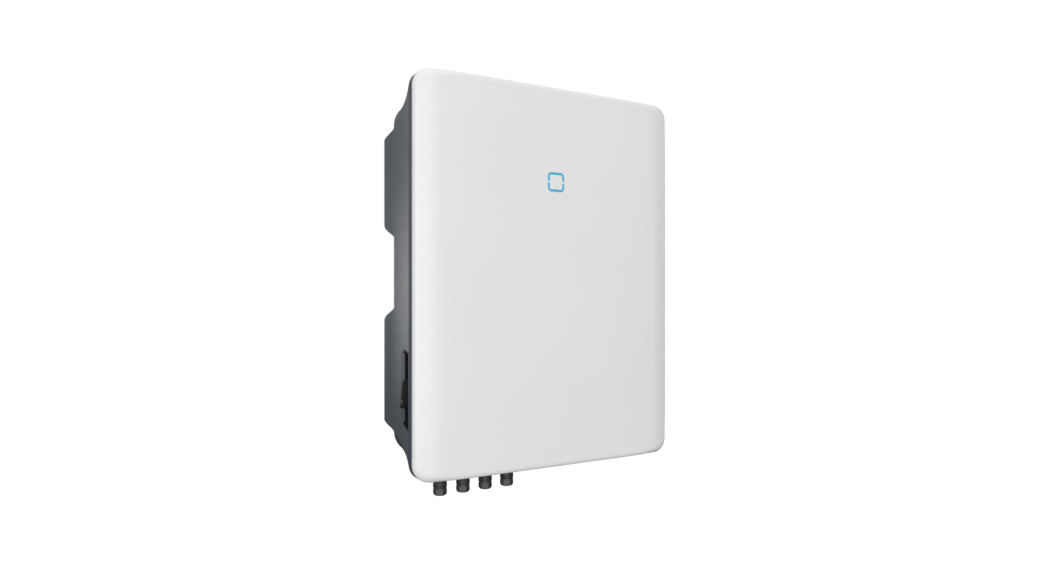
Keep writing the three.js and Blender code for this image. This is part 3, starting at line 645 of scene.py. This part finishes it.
def section_distance(x, d):
    """How far a point is outside the cover's cross-section, which is drawn for x over 0."""
    x = abs(x)
    side = (HALF_W - SIDE_ROUND, SEAM)
    normal_turn = math.atan2(x - side[0], side[1] - d) if x > side[0] else 0.0
    if x > side[0] and normal_turn > BEVEL_SLOPE:
        return math.hypot(x - side[0], side[1] - d) - SIDE_ROUND
    if x > BEVEL_START - (d - BEVEL_TOP) * math.tan(BEVEL_SLOPE):
        return (x - BEVEL_START) * math.sin(BEVEL_SLOPE) - (d - BEVEL_TOP) * math.cos(BEVEL_SLOPE)
    if x > CROWN_END[0]:
        return math.hypot(x - ARC_CENTRE[0], ARC_CENTRE[1] - d) - SHOULDER_ROUND
    rise = max(x - CROWN_START, 0) / (CROWN_END[0] - CROWN_START)
    return CROWN_END[1] * rise * rise - d


def outline_distance(x, z):
    """How far a point is outside the rounded rectangle of the case seen from the front."""
    qx = abs(x) - (HALF_W - OUTLINE_CORNER)
    qz = abs(z) - (HALF_H - OUTLINE_CORNER)
    return math.hypot(max(qx, 0), max(qz, 0)) + min(max(qx, qz), 0) - OUTLINE_CORNER


def cover_distance(x, d, z):
    """How far a point is outside the cover, whose section and outline meet in a rounded edge."""
    across, around = section_distance(x, d), outline_distance(x, z)
    radius = END_ROUND + CORNER_EXTRA * smoothstep((abs(x) - CORNER_FROM) / CORNER_OVER)
    radius *= smoothstep((abs(z) - HALF_H + 60) / 30) * min(max((SEAM - d) / 9, 0), 1)
    corner = math.hypot(max(across + radius, 0), max(around + radius, 0))
    return corner + min(max(across, around), -radius)


def cast_to_cover(base, direction):
    """The point where a ray from inside the cover meets its outer surface."""
    near, far = 0.0, 60.0
    for _ in range(26):
        half = (near + far) / 2
        if cover_distance(*(base + direction * half)) < 0:
            near = half
        else:
            far = half
    return base + direction * (near + far) / 2


def cover_shell():
    depth_in = 30.0
    corner, side, end = 14, 28, 30
    steps = 26
    base_ring = outline(HALF_W - depth_in, HALF_H - depth_in, 0.0, corner, side, end)
    outer_ring = outline(HALF_W, HALF_H, OUTLINE_CORNER, corner, side, end)
    rows = []
    for i in range(steps + 1):
        turn = math.pi / 2 * i / steps
        row = []
        for j, (bx, bz) in enumerate(base_ring):
            ox, oz = outer_ring[j]
            cx = math.copysign(min(abs(ox), HALF_W - OUTLINE_CORNER), ox)
            cz = math.copysign(min(abs(oz), HALF_H - OUTLINE_CORNER), oz)
            out = Vector((ox - cx, 0, oz - cz))
            out = out.normalized() if out.length > 1e-6 else Vector((1, 0, 0))
            direction = out * math.cos(turn) + Vector((0, -1, 0)) * math.sin(turn)
            row.append(tuple(cast_to_cover(Vector((bx, SEAM, bz)), direction)))
        rows.append(row)
    points = [p for row in rows for p in row]
    faces = strips(rows)
    fill_front(points, faces, side, end, depth_in)
    shell = new_object("cover_shell", points, faces, 40)
    # the outer skin is open at the seam, so its normals are made to point out before it gets
    # its thickness
    face_out(shell)
    thick = shell.modifiers.new("wall", "SOLIDIFY")
    thick.thickness = COVER_WALL * MM
    thick.offset = -1
    apply_modifiers(shell)
    for vertex in shell.data.vertices:
        vertex.co.y = min(vertex.co.y, cover_high.y)
    slots = [light_half("slot", sign, 0.15, (-3, 8)) for sign in (1, -1)]
    combine(shell, "DIFFERENCE", slots)
    combine(shell, "UNION", [screw_bars(SCREW_BOSS, 4.0, SEAM - 0.05, 28)])
    combine(shell, "DIFFERENCE", [screw_bars(SCREW_THREAD, 6.0, SEAM + 1.0, 28)])
    shade(shell, 40)
    place_piece(shell, "cover_white", "root", "front_cover")


def screw_bars(radius, front, back, sides):
    """Round bars at the four cover screws, for their bosses, walls and holes."""
    return merged([bar(radius, front, back, "d", front_place(screw), sides)
                   for screw in COVER_SCREWS])


def fill_front(points, faces, side, end, depth_in):
    """Adds a grid over the flat of the front; its rim welds to the last row of the edge."""
    half_x, half_z = HALF_W - depth_in, HALF_H - depth_in
    grid = {}
    for i in range(end + 1):
        for j in range(side + 1):
            base = Vector((half_x * (1 - 2 * i / end), SEAM, half_z * (1 - 2 * j / side)))
            grid[i, j] = len(points)
            points.append(tuple(cast_to_cover(base, Vector((0, -1, 0)))))
    for i in range(end):
        for j in range(side):
            faces.append((grid[i, j], grid[i + 1, j], grid[i + 1, j + 1], grid[i, j + 1]))


def face_out(obj):
    """Turns the faces of an open skin so that its front face looks forward."""
    bm = bmesh.new()
    bm.from_mesh(obj.data)
    bmesh.ops.recalc_face_normals(bm, faces=bm.faces)
    front = min(bm.faces, key=lambda face: face.calc_center_median().y)
    if front.normal.y > 0:
        bmesh.ops.reverse_faces(bm, faces=bm.faces)
    bm.to_mesh(obj.data)
    bm.free()


# ---- status light

LIGHT_CENTRE = (middle("led_guide_upper") + middle("led_guide_lower")) / 2
LIGHT_HALF = (case_box("led_guide_upper")[1].x - case_box("led_guide_upper")[0].x) / 2
LIGHT_STROKE = 2.8
LIGHT_CORNER = 5.0
LIGHT_BREAK = 2.6


def light_half(name, sign, grow, depths, edge=0.0):
    """One half of the rounded-square ring: a strip swept round the upper or lower side."""
    centre_half = LIGHT_HALF - LIGHT_STROKE / 2
    radius = LIGHT_CORNER - LIGHT_STROKE / 2
    straight = centre_half - radius
    path = [(centre_half, LIGHT_BREAK / 2 - grow)]
    for i in range(13):
        angle = math.pi / 2 * i / 12
        path.append((straight + radius * math.cos(angle), straight + radius * math.sin(angle)))
    path += [(-x, z) for x, z in reversed(path)]
    half = LIGHT_STROKE / 2 + grow
    front, back = depths
    section = [(-half, back), (-half, front + edge), (-half + edge, front),
               (half - edge, front), (half, front + edge), (half, back)]
    if edge == 0.0:
        section = [(-half, back), (-half, front), (half, front), (half, back)]
    rows = []
    for i, (x, z) in enumerate(path):
        ahead = Vector(path[min(i + 1, len(path) - 1)]) - Vector(path[max(i - 1, 0)])
        across = Vector((ahead.y, -ahead.x)).normalized()
        rows.append([(LIGHT_CENTRE.x + x + across.x * s, d,
                      LIGHT_CENTRE.z + sign * (z + across.y * s)) for s, d in section])
    return capped(name, rows, 40)


def status_light():
    for word, sign in (("upper", 1), ("lower", -1)):
        guide = light_half(f"light_ring_{word}", sign, 0.0, (-0.1, 4.0), 0.3)
        place_piece(guide, "light_guide", "root", f"led_guide_{word}")


# ---- rear housing

def tuck(d):
    along = min(max((d - RIM_BACK) / (BODY_END - RIM_BACK), 0), 1)
    return 1 - (1 - along) ** SWEEP_POWER


def shoulder_rise(z):
    """0 on the main body and 1 on a rear shoulder, with rounded slopes between them."""
    rise = 0.0
    for foot_low, crest_low, crest_high, foot_high in SHOULDERS:
        up = (z - foot_low) / (crest_low - foot_low)
        down = (foot_high - z) / (foot_high - crest_high)
        rise = max(rise, ramp(min(up, down)))
    return rise


def ramp(t):
    """A straight slope from 0 to 1, eased a little at its foot and more at its crest."""
    t = min(max(t, 0.0), 1.0)
    peak = 1 / (1 - (FOOT_EASE + CREST_EASE) / 2)
    if t < FOOT_EASE:
        return peak * t * t / (2 * FOOT_EASE)
    if t > 1 - CREST_EASE:
        return 1 - peak * (1 - t) ** 2 / (2 * CREST_EASE)
    return peak * (t - FOOT_EASE / 2)


def side_heights():
    """Heights up a side, close together where the shoulders slope."""
    marks = sorted({z for shoulder in SHOULDERS for z in shoulder if abs(z) < SIDE_REACH})
    marks = [-SIDE_REACH, *marks, SIDE_REACH]
    heights = []
    for low, high in zip(marks, marks[1:]):
        pitch = 1.6 if high - low < 30 else 14
        count = max(2, round((high - low) / pitch))
        heights += [low + (high - low) * i / count for i in range(count)]
    return heights + [SIDE_REACH]


def skin_columns():
    """Places round the housing as (kind, value, sign of x, sign of z)."""
    heights = side_heights()
    turns = [math.radians(2 * i) for i in range(1, 10)]
    turns += linspace(math.radians(20), math.pi / 2, 11)[:-1]
    across = linspace(-1, 1, 21)
    columns = [("side", z, 1, 1) for z in heights]
    columns += [("corner", turn, 1, 1) for turn in turns]
    columns += [("end", -value, 1, 1) for value in across]
    columns += [("corner", turn, -1, 1) for turn in reversed(turns)]
    columns += [("side", z, -1, 1) for z in reversed(heights)]
    columns += [("corner", turn, -1, -1) for turn in turns]
    columns += [("end", value, 1, -1) for value in across]
    columns += [("corner", turn, 1, -1) for turn in reversed(turns)]
    return columns


def skin_point(column, d, inset=0.0):
    """The place (x, z) of a column on the housing's skin at a depth, moved in by an inset."""
    kind, value, sign_x, sign_z = column
    t = tuck(d)
    half_w = HALF_W - SIDE_TUCK * t - inset
    half_h = HALF_H - END_TUCK * t - inset
    radius = max(OUTLINE_CORNER + (REAR_CORNER - OUTLINE_CORNER) * t - inset, 1.0)
    if kind == "side":
        return sign_x * half_w, value / SIDE_REACH * (half_h - radius)
    if kind == "end":
        return value * (half_w - radius), sign_z * half_h
    return (sign_x * (half_w - radius + radius * math.cos(value)),
            sign_z * (half_h - radius + radius * math.sin(value)))


def skin_profile(column):
    """Points of one column from the front edge round to the rear face."""
    kind, _, sign_x, _ = column
    rise = 0.0 if kind == "end" else shoulder_rise(skin_point(column, BODY_END)[1])
    end = BODY_END + (SHOULDER_END - BODY_END) * rise
    radius = REAR_ROUND + (SHOULDER_EDGE - REAR_ROUND) * rise
    last = end - radius
    steps = [(1.2, RIM_FRONT), (0.35, RIM_FRONT + 0.35), (0.0, RIM_FRONT + 1.2), (0.0, RIM_BACK)]
    steps += [(0.0, RIM_BACK + (BODY_END - REAR_ROUND - RIM_BACK) * (i / 14) ** 1.2)
              for i in range(1, 15)]
    start = BODY_END - REAR_ROUND
    steps += [(0.0, start + (last - start) * i / 4) for i in range(1, 5)]
    for i in range(1, 9):
        turn = math.pi / 2 * i / 8
        steps.append((radius * (1 - math.cos(turn)), last + radius * math.sin(turn)))
    points = []
    for inset, d in steps:
        if kind == "side" and inset > 1.5:
            x, z = skin_point(column, d)
            x = sign_x * (abs(x) - inset)
        else:
            x, z = skin_point(column, d, inset)
        points.append((x, d, z))
    return points


def outer_body(name):
    """The housing as a full block: its skin, a flat front and the stepped rear face."""
    columns = skin_columns()
    profiles = [skin_profile(column) for column in columns]
    count, depth = len(profiles), len(profiles[0])
    points = [profiles[j][i] for i in range(depth) for j in range(count)]
    faces = strips([[profiles[j][i] for j in range(count)] for i in range(depth)])
    faces.append(tuple(range(count)))
    base = (depth - 1) * count
    places = [skin_point(column, BODY_END) for column in columns]
    flank = [j for j, column in enumerate(columns) if column[0] != "end"]
    right = sorted((j for j in flank if places[j][0] > 0), key=lambda j: places[j][1])
    left = sorted((j for j in flank if places[j][0] < 0), key=lambda j: places[j][1])
    for (a, b), (c, d) in zip(zip(right, left), zip(right[1:], left[1:])):
        faces.append((base + a, base + b, base + d, base + c))
    for first, last in ((right[-1], left[-1]), (left[0], right[0])):
        loop = [first]
        while loop[-1] != last:
            loop.append((loop[-1] + 1) % count)
        faces.append(tuple(base + j for j in loop))
    return new_object(name, points, faces, 38)


def cavity_cutter():
    """The hollow of the housing, open at the front through the flange."""
    columns = skin_columns()
    rows = []
    for d in (RIM_BACK, 34, 48, 66, 88, CAVITY_FLOOR):
        rows.append([(x, d, z) for x, z in
                     (skin_point(column, d, HOUSING_WALL) for column in columns)])
    return capped("cut_cavity", rows)


def screw_way(screw):
    """A cover screw's hole through the flange, and the wider way for a screwdriver behind it."""
    start, seat, end = RIM_FRONT - 2, RIM_BACK + 2, 170
    profile = [(0, start), (SCREW_HOLE, start), (SCREW_HOLE, seat), (DRIVER_WAY, seat),
               (DRIVER_WAY, end), (0, end)]
    return lathe("way", profile, "d", front_place(screw), 32)


def deck_holes():
    holes = [bar(radius, DECK_Z - 11, DECK_Z + 20, "z", plan_place(name), 40)
             for name, radius in DECK_HOLES.items()]
    top = DECK_Z + DECK_THICKNESS - 1.2
    holes.append(bar(3.2, DECK_Z - 1, top, "z", plan_place("earth_screw"), 24))
    return holes


def board_posts():
    top, edge, foot = POST_RADII
    back = CAVITY_FLOOR + 1
    posts = []
    for side in (-1, 1):
        for board, x, heights in POSTS:
            front = case_box(board)[1].y + 0.3
            profile = [(0, front), (top, front), (edge, front + 0.6), (foot, back), (0, back)]
            posts += [lathe("post", profile, "d", (side * x, z), 24) for z in heights]
    return posts


def rear_body():
    body = outer_body("rear_casting")
    mouth = outline(HALF_W - FLANGE, HALF_H - FLANGE, MOUTH_CORNER)
    bay = outline(BAY_HALF_WIDTH, 300, 0.01, 1, 1, 1)
    walls = screw_bars(DRIVER_WALL, RIM_FRONT, CAVITY_FLOOR + 1, 32)
    combine(walls, "INTERSECT", [outer_body("trim")])
    deck = rounded_slab("deck", (-156, 46, DECK_Z),
                        (156, CAVITY_FLOOR + 1, DECK_Z + DECK_THICKNESS), 4, "z")
    combine(body, "DIFFERENCE", [
        cavity_cutter(),
        prism("cut_mouth", mouth, RIM_FRONT - 1, RIM_BACK + 1, "d"),
        prism("cut_bay", bay, BAY_FLOOR, 210, "d")])
    combine(body, "UNION", [walls, deck, merged(board_posts())])
    combine(body, "DIFFERENCE", [
        merged(housing_pockets()),
        merged([screw_way(screw) for screw in COVER_SCREWS]),
        merged(deck_holes()),
        recess_scoop()])
    shade(body, 38)
    place_piece(body, "housing_grey", "root", "rear_housing")


def recess_scoop():
    """The shallow dip that leads from the side into the switch recess, on its rear edge."""
    low, high = case_box("dc_switch_bezel")
    edge = high.y - BEZEL_WALL
    end = edge + SCOOP_LENGTH
    surface, run_out = (HALF_W - SIDE_TUCK * tuck(d) for d in (edge, end))
    outside = BEYOND_SIDE - 5
    points = [(SCOOP_DEPTH - surface, edge), (-run_out, end), (outside, end), (outside, edge)]
    return prism("scoop", points, low.z + BEZEL_CORNER, high.z - BEZEL_CORNER, "z")


def housing_pockets():
    """Cuts that don't meet each other: recess, deck step, window and shoulder pockets."""
    low, high = case_box("dc_switch_bezel")
    seal_low, seal_high = case_box("heat_sink_seal")
    cuts = [
        rounded_slab("recess", (BEYOND_SIDE, low.y - 0.3, low.z - 0.3),
                     (high.x - 2, high.y + 0.3, high.z + 0.3), 4.0, "x"),
        rounded_slab("deck_step", (-152, 50, -262), (152, 106, DECK_Z), 5.0, "z"),
        rounded_slab("window", (seal_low.x + 9, CAVITY_FLOOR - 2, seal_low.z + 9),
                     (seal_high.x - 9, BAY_FLOOR + 2, seal_high.z - 9), 5.0, "d")]
    for side in (-1, 1):
        near, far = sorted(side * x for x in POCKET_SIDES)
        for bottom, top, end in POCKETS:
            cuts.append(rounded_slab("pocket", (near, POCKET_START, bottom), (far, end, top),
                                     4.0, "x"))
    return cuts


# ---- seal and DC switch

def cover_gasket():
    """A flat rubber frame, its outer edge slightly bulged, with a hole for each screw."""
    low, high = case_box("cover_gasket")
    front, back = low.y, high.y
    radius = OUTLINE_CORNER - (HALF_W - high.x)
    width = FLANGE - 2
    bulge = 0.35
    rows = []
    for inset, d in ((bulge, front), (0, front + 0.6), (0, back - 0.6), (bulge, back),
                     (width, back), (width, front), (bulge, front)):
        rows.append([(x, d, z) for x, z in
                     outline(high.x - inset, high.z - inset, radius - inset)])
    gasket = new_object("cover_seal", [p for row in rows for p in row], strips(rows), 40)
    combine(gasket, "DIFFERENCE", [screw_bars(3, front - 2, back + 2, 24)])
    place_piece(gasket, "seal_rubber", "root", "cover_gasket")


def switch_bezel():
    """The black tray round the switch knob, cut off flush with the side of the housing."""
    low, high = case_box("dc_switch_bezel")
    floor = high.x - BEZEL_WALL
    tray = rounded_slab("switch_tray", (BEYOND_SIDE, low.y, low.z), high, BEZEL_CORNER, "x")
    combine(tray, "INTERSECT", [outer_body("trim")])
    hollow = rounded_slab("hollow", (BEYOND_SIDE - 4, low.y + BEZEL_WALL, low.z + BEZEL_WALL),
                          (floor, high.y - BEZEL_WALL, high.z - BEZEL_WALL), 2.5, "x")
    hole = bar(7, floor - 3, high.x + 2, "x", (KNOB.y, KNOB.z))
    combine(tray, "DIFFERENCE", [hollow, recess_scoop(), hole])
    shade(tray, 38)
    place_piece(tray, "black_plastic", "root", "dc_switch_bezel", look="switch_black")


def knurl(radius, along, angle):
    """Ribs round the knob's base."""
    if radius > KNOB_RADIUS - 0.1:
        return radius - RIB_DEPTH * (0.5 + 0.5 * math.cos(KNOB_RIBS * angle))
    return radius


def knob_grip(face, base_front):
    """The bar that the fingers hold, narrower towards its face."""
    reach = KNOB_RADIUS
    foot = base_front + 1
    side = [(face, 1.5 - reach), (face + 3.5, reach - 3), (foot, reach - 1), (foot, 1 - reach)]
    grip = prism("grip", side, -GRIP_HALF, GRIP_HALF, "d")
    for vertex in grip.data.vertices:
        x, d, z = vertex.co.x / MM, (vertex.co.y - FRONT_Y) / MM, (vertex.co.z - CENTRE_Z) / MM
        taper = 1 - GRIP_TAPER * (base_front - x) / (base_front - face)
        vertex.co = at(x, KNOB.y + d * taper, KNOB.z + z)
    weld(grip, 1e-6, outward=True)
    add_bevel(grip, 1.1, 3)
    apply_modifiers(grip)
    return grip


def switch_knob():
    """A ribbed round base with a tapered grip across it and a light mark along the grip."""
    low, high = case_box("dc_switch_knob")
    face, base_front = low.x, high.x - KNOB_BASE
    profile = [(0, high.x), (KNOB_RADIUS - 0.6, high.x), (KNOB_RADIUS, high.x - 0.6),
               (KNOB_RADIUS, base_front + 1.5), (KNOB_RADIUS - 0.4, base_front + 0.6),
               (KNOB_RADIUS - 1.5, base_front), (0, base_front)]
    knob = lathe("switch_knob", profile, "x", (KNOB.y, KNOB.z), KNOB_RIBS * 5, 40, knurl)
    combine(knob, "UNION", [knob_grip(face, base_front)])
    bore = rounded_slab("bore", (-175, KNOB.y - SHAFT_HALF, KNOB.z - SHAFT_HALF),
                        (high.x + 1, KNOB.y + SHAFT_HALF, KNOB.z + SHAFT_HALF), 0.4, "x")
    mark = rounded_slab("mark", (face - 1, KNOB.y - MARK_HALF, KNOB.z - 14.5),
                        (face + MARK_DEPTH, KNOB.y + MARK_HALF, KNOB.z - 4), 0.85, "x")
    combine(knob, "DIFFERENCE", [bore, mark])
    shade(knob, 35)
    place_piece(knob, "black_plastic", "dc_switch", "dc_switch_knob", look="switch_black")
    knob.data.materials.append(MATERIALS["mark_paint"])
    for polygon in knob.data.polygons:
        depth = polygon.center.x / MM - face
        across = (polygon.center.y - FRONT_Y) / MM - KNOB.y
        if abs(depth - MARK_DEPTH) < 0.05 and abs(across) < MARK_HALF - 0.1:
            polygon.material_index = 1


# ---- plug deck

def hexagon(across_flats, place, turn=0.0):
    return [polar(place, across_flats / math.sqrt(3), turn + math.radians(60 * i))
            for i in range(6)]


def turned(name, profile, place, radius=0.4, sides=64):
    return lathe(name, rounded(profile, radius), "z", place, sides, 32)


def bevelled_nut(name, across_flats, place, low, high, width):
    """A hexagonal piece with its edges taken off."""
    nut = prism(name, hexagon(across_flats, place), low, high, "z")
    add_bevel(nut, width)
    apply_modifiers(nut)
    return nut


def solar_socket(i, place, bottom):
    """A round barrel with a groove, under a flange and a threaded neck."""
    groove = PV_RADIUS - 0.35
    socket = turned(f"solar_socket_{i}", [
        (0, PV_BORE_TOP), (3, PV_BORE_TOP), (3, PV_TOP), (PV_THREAD, PV_TOP),
        (PV_THREAD, UNDER_DECK), (PV_FLANGE, UNDER_DECK), (PV_FLANGE, UNDER_DECK - 4),
        (PV_RADIUS, UNDER_DECK - 4), (PV_RADIUS, bottom + 8.6), (groove, bottom + 8),
        (groove, bottom + 6.6), (PV_RADIUS, bottom + 6), (PV_RADIUS, bottom), (5.1, bottom),
        (5.1, -236), (0, -236)], place)
    place_piece(socket, "black_plastic", "root", f"pv_socket_{i}")


def solar_cap(i, place, bottom):
    """A plug with a hexagonal skirt under the socket."""
    low, high = (corner.z for corner in case_box(f"pv_cap_{i}"))
    neck = PV_RADIUS - 0.6
    cap = turned(f"solar_cap_{i}", [
        (0, high), (4.6, high), (4.6, bottom - 0.3), (neck, bottom - 0.3), (neck, bottom - 1.7),
        (PV_RADIUS, bottom - 2.2), (PV_RADIUS, low + 2.2), (7.0, low), (0, low)], place)
    flats = hexagon(PV_FLATS, place, math.radians(33))
    combine(cap, "INTERSECT", [prism("trim", flats, low - 2, high + 2, "z")])
    shade(cap, 25)
    place_piece(cap, "grey_plastic", f"pv_cap_{i}", f"pv_cap_{i}")


def solar_nut(i, place):
    low, high = (corner.z for corner in case_box(f"pv_nut_{i}"))
    nut = prism(f"solar_nut_{i}", hexagon(NUT_FLATS, place), low, high, "z")
    combine(nut, "DIFFERENCE", [bar(DECK_HOLES[f"pv_nut_{i}"], low - 1, high + 1, "z", place)])
    add_bevel(nut, 0.4)
    place_piece(nut, "black_plastic", "root", f"pv_nut_{i}")


def solar_plugs():
    for i in (1, 2, 3, 4):
        place = plan_place(f"pv_socket_{i}")
        bottom = case_box(f"pv_socket_{i}")[0].z
        solar_socket(i, place, bottom)
        solar_cap(i, place, bottom)
        solar_nut(i, place)


def fluted(outer, low, high, count, depth):
    """Flutes round the grip of a cap, between two heights."""
    def reshape(radius, along, angle):
        if radius < outer - 0.05 or not low < along < high:
            return radius
        return radius - depth * (0.5 - 0.5 * math.cos(count * angle)) ** 2
    return reshape


def grip_steps(outer, low, high):
    """Points up the outside of a cap, with the flutes running out at both ends."""
    return [(outer, z) for z in (low, low + 1.5, low + 2.2, high - 2.2, high - 1.5, high)]


def ac_socket(place, end, face):
    """A wide barrel under a flange, with five pins in its recess."""
    top = UNDER_DECK - 3.5
    socket = turned("grid_socket", [
        (0, -212), (19, -212), (19, UNDER_DECK), (25, UNDER_DECK), (25, top), (AC_BARREL, top),
        (AC_BARREL, end), (17.5, end), (17.5, face), (0, face)], place, 0.5, 96)
    pins = []
    for i in range(5):
        pin = polar(place, 9, math.radians(72 * i))
        pins.append(lathe("pin", [(0, face + 1), (2, face + 1), (2, end + 2), (1.5, end + 1.5),
                                  (0, end + 1.5)], "z", pin, 20))
    combine(socket, "UNION", [merged(pins)])
    place_piece(socket, "black_plastic", "root", "ac_socket")


def ac_cap(place, inside):
    """A fluted bayonet cap with two ears."""
    low, high = (corner.z for corner in case_box("ac_socket_cap"))
    outer = AC_CAP_RADIUS
    profile = [(0, low), (outer - 1.4, low), *grip_steps(outer, low + 1.4, high),
               (AC_CAP_BORE, high), (AC_CAP_BORE, inside), (0, inside)]
    cap = lathe("grid_cap", profile, "z", place, 192, 32,
                fluted(outer, low + 3.4, high - 2, 32, 0.8))
    ears = []
    for turn in (35, 215):
        ear = polar(place, 25, math.radians(turn))
        ears.append(lathe("ear", [(0, low + 2), (2.8, low + 2), (3.4, low + 2.6),
                                  (3.4, EAR_TOP - 0.6), (2.8, EAR_TOP), (0, EAR_TOP)],
                          "z", ear, 28))
    combine(cap, "UNION", ears)
    combine(cap, "DIFFERENCE", [bar(AC_CAP_BORE, inside, -230, "z", place, 192)])
    shade(cap, 32)
    place_piece(cap, "grey_plastic", "ac_cap", "ac_socket_cap")


def ac_plug():
    place = plan_place("ac_socket_nut")
    end = case_box("ac_socket")[0].z
    ac_socket(place, end, end + 7)
    ac_cap(place, end - 0.4)


def capped_socket(name, inside, flutes):
    """A socket with a screwed cap: flange, threaded spigot and fluted cap."""
    low, high = case_box(f"{name}_cap")
    place = plan_place(f"{name}_cap")
    outer = (high.x - low.x) / 2
    spigot = outer - 3.2
    flange = outer + 2.5
    thread = []
    for i in range(5):
        top = UNDER_DECK - 7 - i * 1.8
        thread += [(spigot, top), (spigot - 0.5, top - 0.9)]
    socket = lathe(f"{name}_port", [
        (0, PORT_TOP), (inside, PORT_TOP), (inside, UNDER_DECK), (outer + 2.1, UNDER_DECK),
        (flange, UNDER_DECK - 0.4), (flange, UNDER_DECK - 2.6), (outer + 2.1, UNDER_DECK - 3),
        (spigot, UNDER_DECK - 3), *thread, (spigot, PORT_BORE), (spigot - 3, PORT_BORE),
        (spigot - 3, PORT_BORE + 6), (0, PORT_BORE + 6)], "z", place, 72)
    place_piece(socket, "black_plastic", "root", f"{name}_socket")
    profile = [(0, low.z), (outer - 1.2, low.z), *grip_steps(outer, low.z + 1.2, high.z),
               (spigot + 0.9, high.z), (spigot + 0.9, PORT_BORE - 0.4), (0, PORT_BORE - 0.4)]
    cap = lathe(f"{name}_lid", profile, "z", place, flutes * 6, 32,
                fluted(outer, low.z + 3.2, high.z - 2, flutes, 0.7))
    place_piece(cap, "grey_plastic", f"{name}_cap", f"{name}_cap")


def slotted(radius, along, angle):
    """Twelve air slots round the breather vent."""
    if radius > 7.9 and -235.6 < along < UNDER_DECK - 3.9 and math.cos(12 * angle) > 0.55:
        return radius - 0.9
    return radius


def breather_vent():
    place = plan_place("breather_vent")
    vent = lathe("vent_plug", [
        (3, PORT_TOP), (6, PORT_TOP), (6, UNDER_DECK), (8, UNDER_DECK), (8, UNDER_DECK - 3.8),
        (8, UNDER_DECK - 4), (8, -235.5), (8, -235.8), (6.6, -238.5), (0, -239.5), (0, -232),
        (3, -232)], "z", place, 144, 32, slotted)
    collar = bevelled_nut("collar", NUT_FLATS, place, UNDER_DECK - 3.5, UNDER_DECK, 0.5)
    combine(vent, "UNION", [collar])
    shade(vent, 32)
    place_piece(vent, "grey_plastic", "root", "breather_vent")


def earth_screw():
    place = plan_place("earth_screw")
    top = DECK_Z + DECK_THICKNESS - 2
    bolt = lathe("earth_bolt", [
        (0, top), (2.5, top), (2.9, DECK_Z + 2.6), (2.9, UNDER_DECK), (6.3, UNDER_DECK),
        (6.5, UNDER_DECK - 0.2), (6.5, UNDER_DECK - 1.4), (6.3, UNDER_DECK - 1.6),
        (0, UNDER_DECK - 1.6)], "z", place, 48)
    head = bevelled_nut("head", 10, place, UNDER_DECK - 5.5, UNDER_DECK - 1.5, 0.4)
    combine(bolt, "UNION", [head])
    shade(bolt, 32)
    place_piece(bolt, "screw_steel", "root", "earth_screw")


# ---- studio

def dome():
    """A white surround that looks brighter to the camera than it shines."""
    world = bpy.data.worlds.new("studio")
    bpy.context.scene.world = world
    world.use_nodes = True
    nodes, links = world.node_tree.nodes, world.node_tree.links
    rays = nodes.new("ShaderNodeLightPath")
    strength = nodes.new("ShaderNodeMapRange")
    strength.inputs["To Min"].default_value = DOME_LIGHT
    strength.inputs["To Max"].default_value = 1.0
    links.new(rays.outputs["Is Camera Ray"], strength.inputs["Value"])
    background = nodes["Background"]
    links.new(strength.outputs["Result"], background.inputs["Strength"])
    background.inputs["Color"].default_value = (1, 1, 1, 1)


def studio_floor():
    """A round floor far below the case, white to the camera, that throws little light up."""
    mesh = bpy.data.meshes.new("floor")
    bm = bmesh.new()
    bmesh.ops.create_circle(bm, cap_ends=True, segments=96, radius=30)
    bm.to_mesh(mesh)
    bm.free()
    disc = bpy.data.objects.new("floor", mesh)
    disc.location.z = cad_box[0].z - FLOOR_DROP
    bpy.context.scene.collection.objects.link(disc)
    mat = material("floor_paint", (FLOOR_TONE, FLOOR_TONE, FLOOR_TONE), 0.9)
    shader = principled(mat)
    shader.inputs["Specular IOR Level"].default_value = 0.0
    shader.inputs["Emission Color"].default_value = (1, 1, 1, 1)
    link(mat, node(mat, "ShaderNodeLightPath"), "Is Camera Ray", shader, "Emission Strength")
    vary_roughness(mat, noise(mat, 3, 2), 0.75, 0.85)
    mesh.materials.append(mat)


def area_light(name, place, size, power):
    data = bpy.data.lights.new(name, "AREA")
    data.shape = "DISK"
    data.size = size
    data.energy = power
    light = bpy.data.objects.new(name, data)
    light.location = place
    light.rotation_mode = "QUATERNION"
    light.rotation_quaternion = (at(0, 90, 0) - Vector(place)).to_track_quat("-Z", "Y")
    bpy.context.scene.collection.objects.link(light)


def camera():
    data = bpy.data.cameras.new("camera")
    data.sensor_width = SENSOR
    data.lens = LENS
    data.shift_y = HORIZON_SHIFT
    data.clip_start, data.clip_end = 0.01, 100
    eye = bpy.data.objects.new("camera", data)
    eye.location = at(*EYE)
    eye.rotation_euler = (math.pi / 2, 0, -VIEW_TURN)
    bpy.context.scene.collection.objects.link(eye)
    bpy.context.scene.camera = eye


# ---- the scene

def dress_cad_nodes():
    """Every CAD node gets its slot's material, and the nodes in EDGE_WIDTHS also get softened
    edges.
    """
    slots = {entry["node"]: entry["material_slot"] for entry in frame["record"]["subparts"]}
    for name, obj in frame["nodes"].items():
        obj.data.materials.clear()
        obj.data.materials.append(MATERIALS[slots[name]])
        if name in EDGE_WIDTHS:
            shade(obj, 32)
            add_bevel(obj, EDGE_WIDTHS[name])


camera()
dome()
for light in LIGHTS:
    area_light(*light)
studio_floor()
dress_cad_nodes()
cover_shell()
status_light()
rear_body()
cover_gasket()
switch_bezel()
switch_knob()
solar_plugs()
ac_plug()
capped_socket("com", 9.2, 30)
capped_socket("dongle", 7.2, 24)
breather_vent()
earth_screw()

bpy.context.scene.view_settings.view_transform = "Standard"
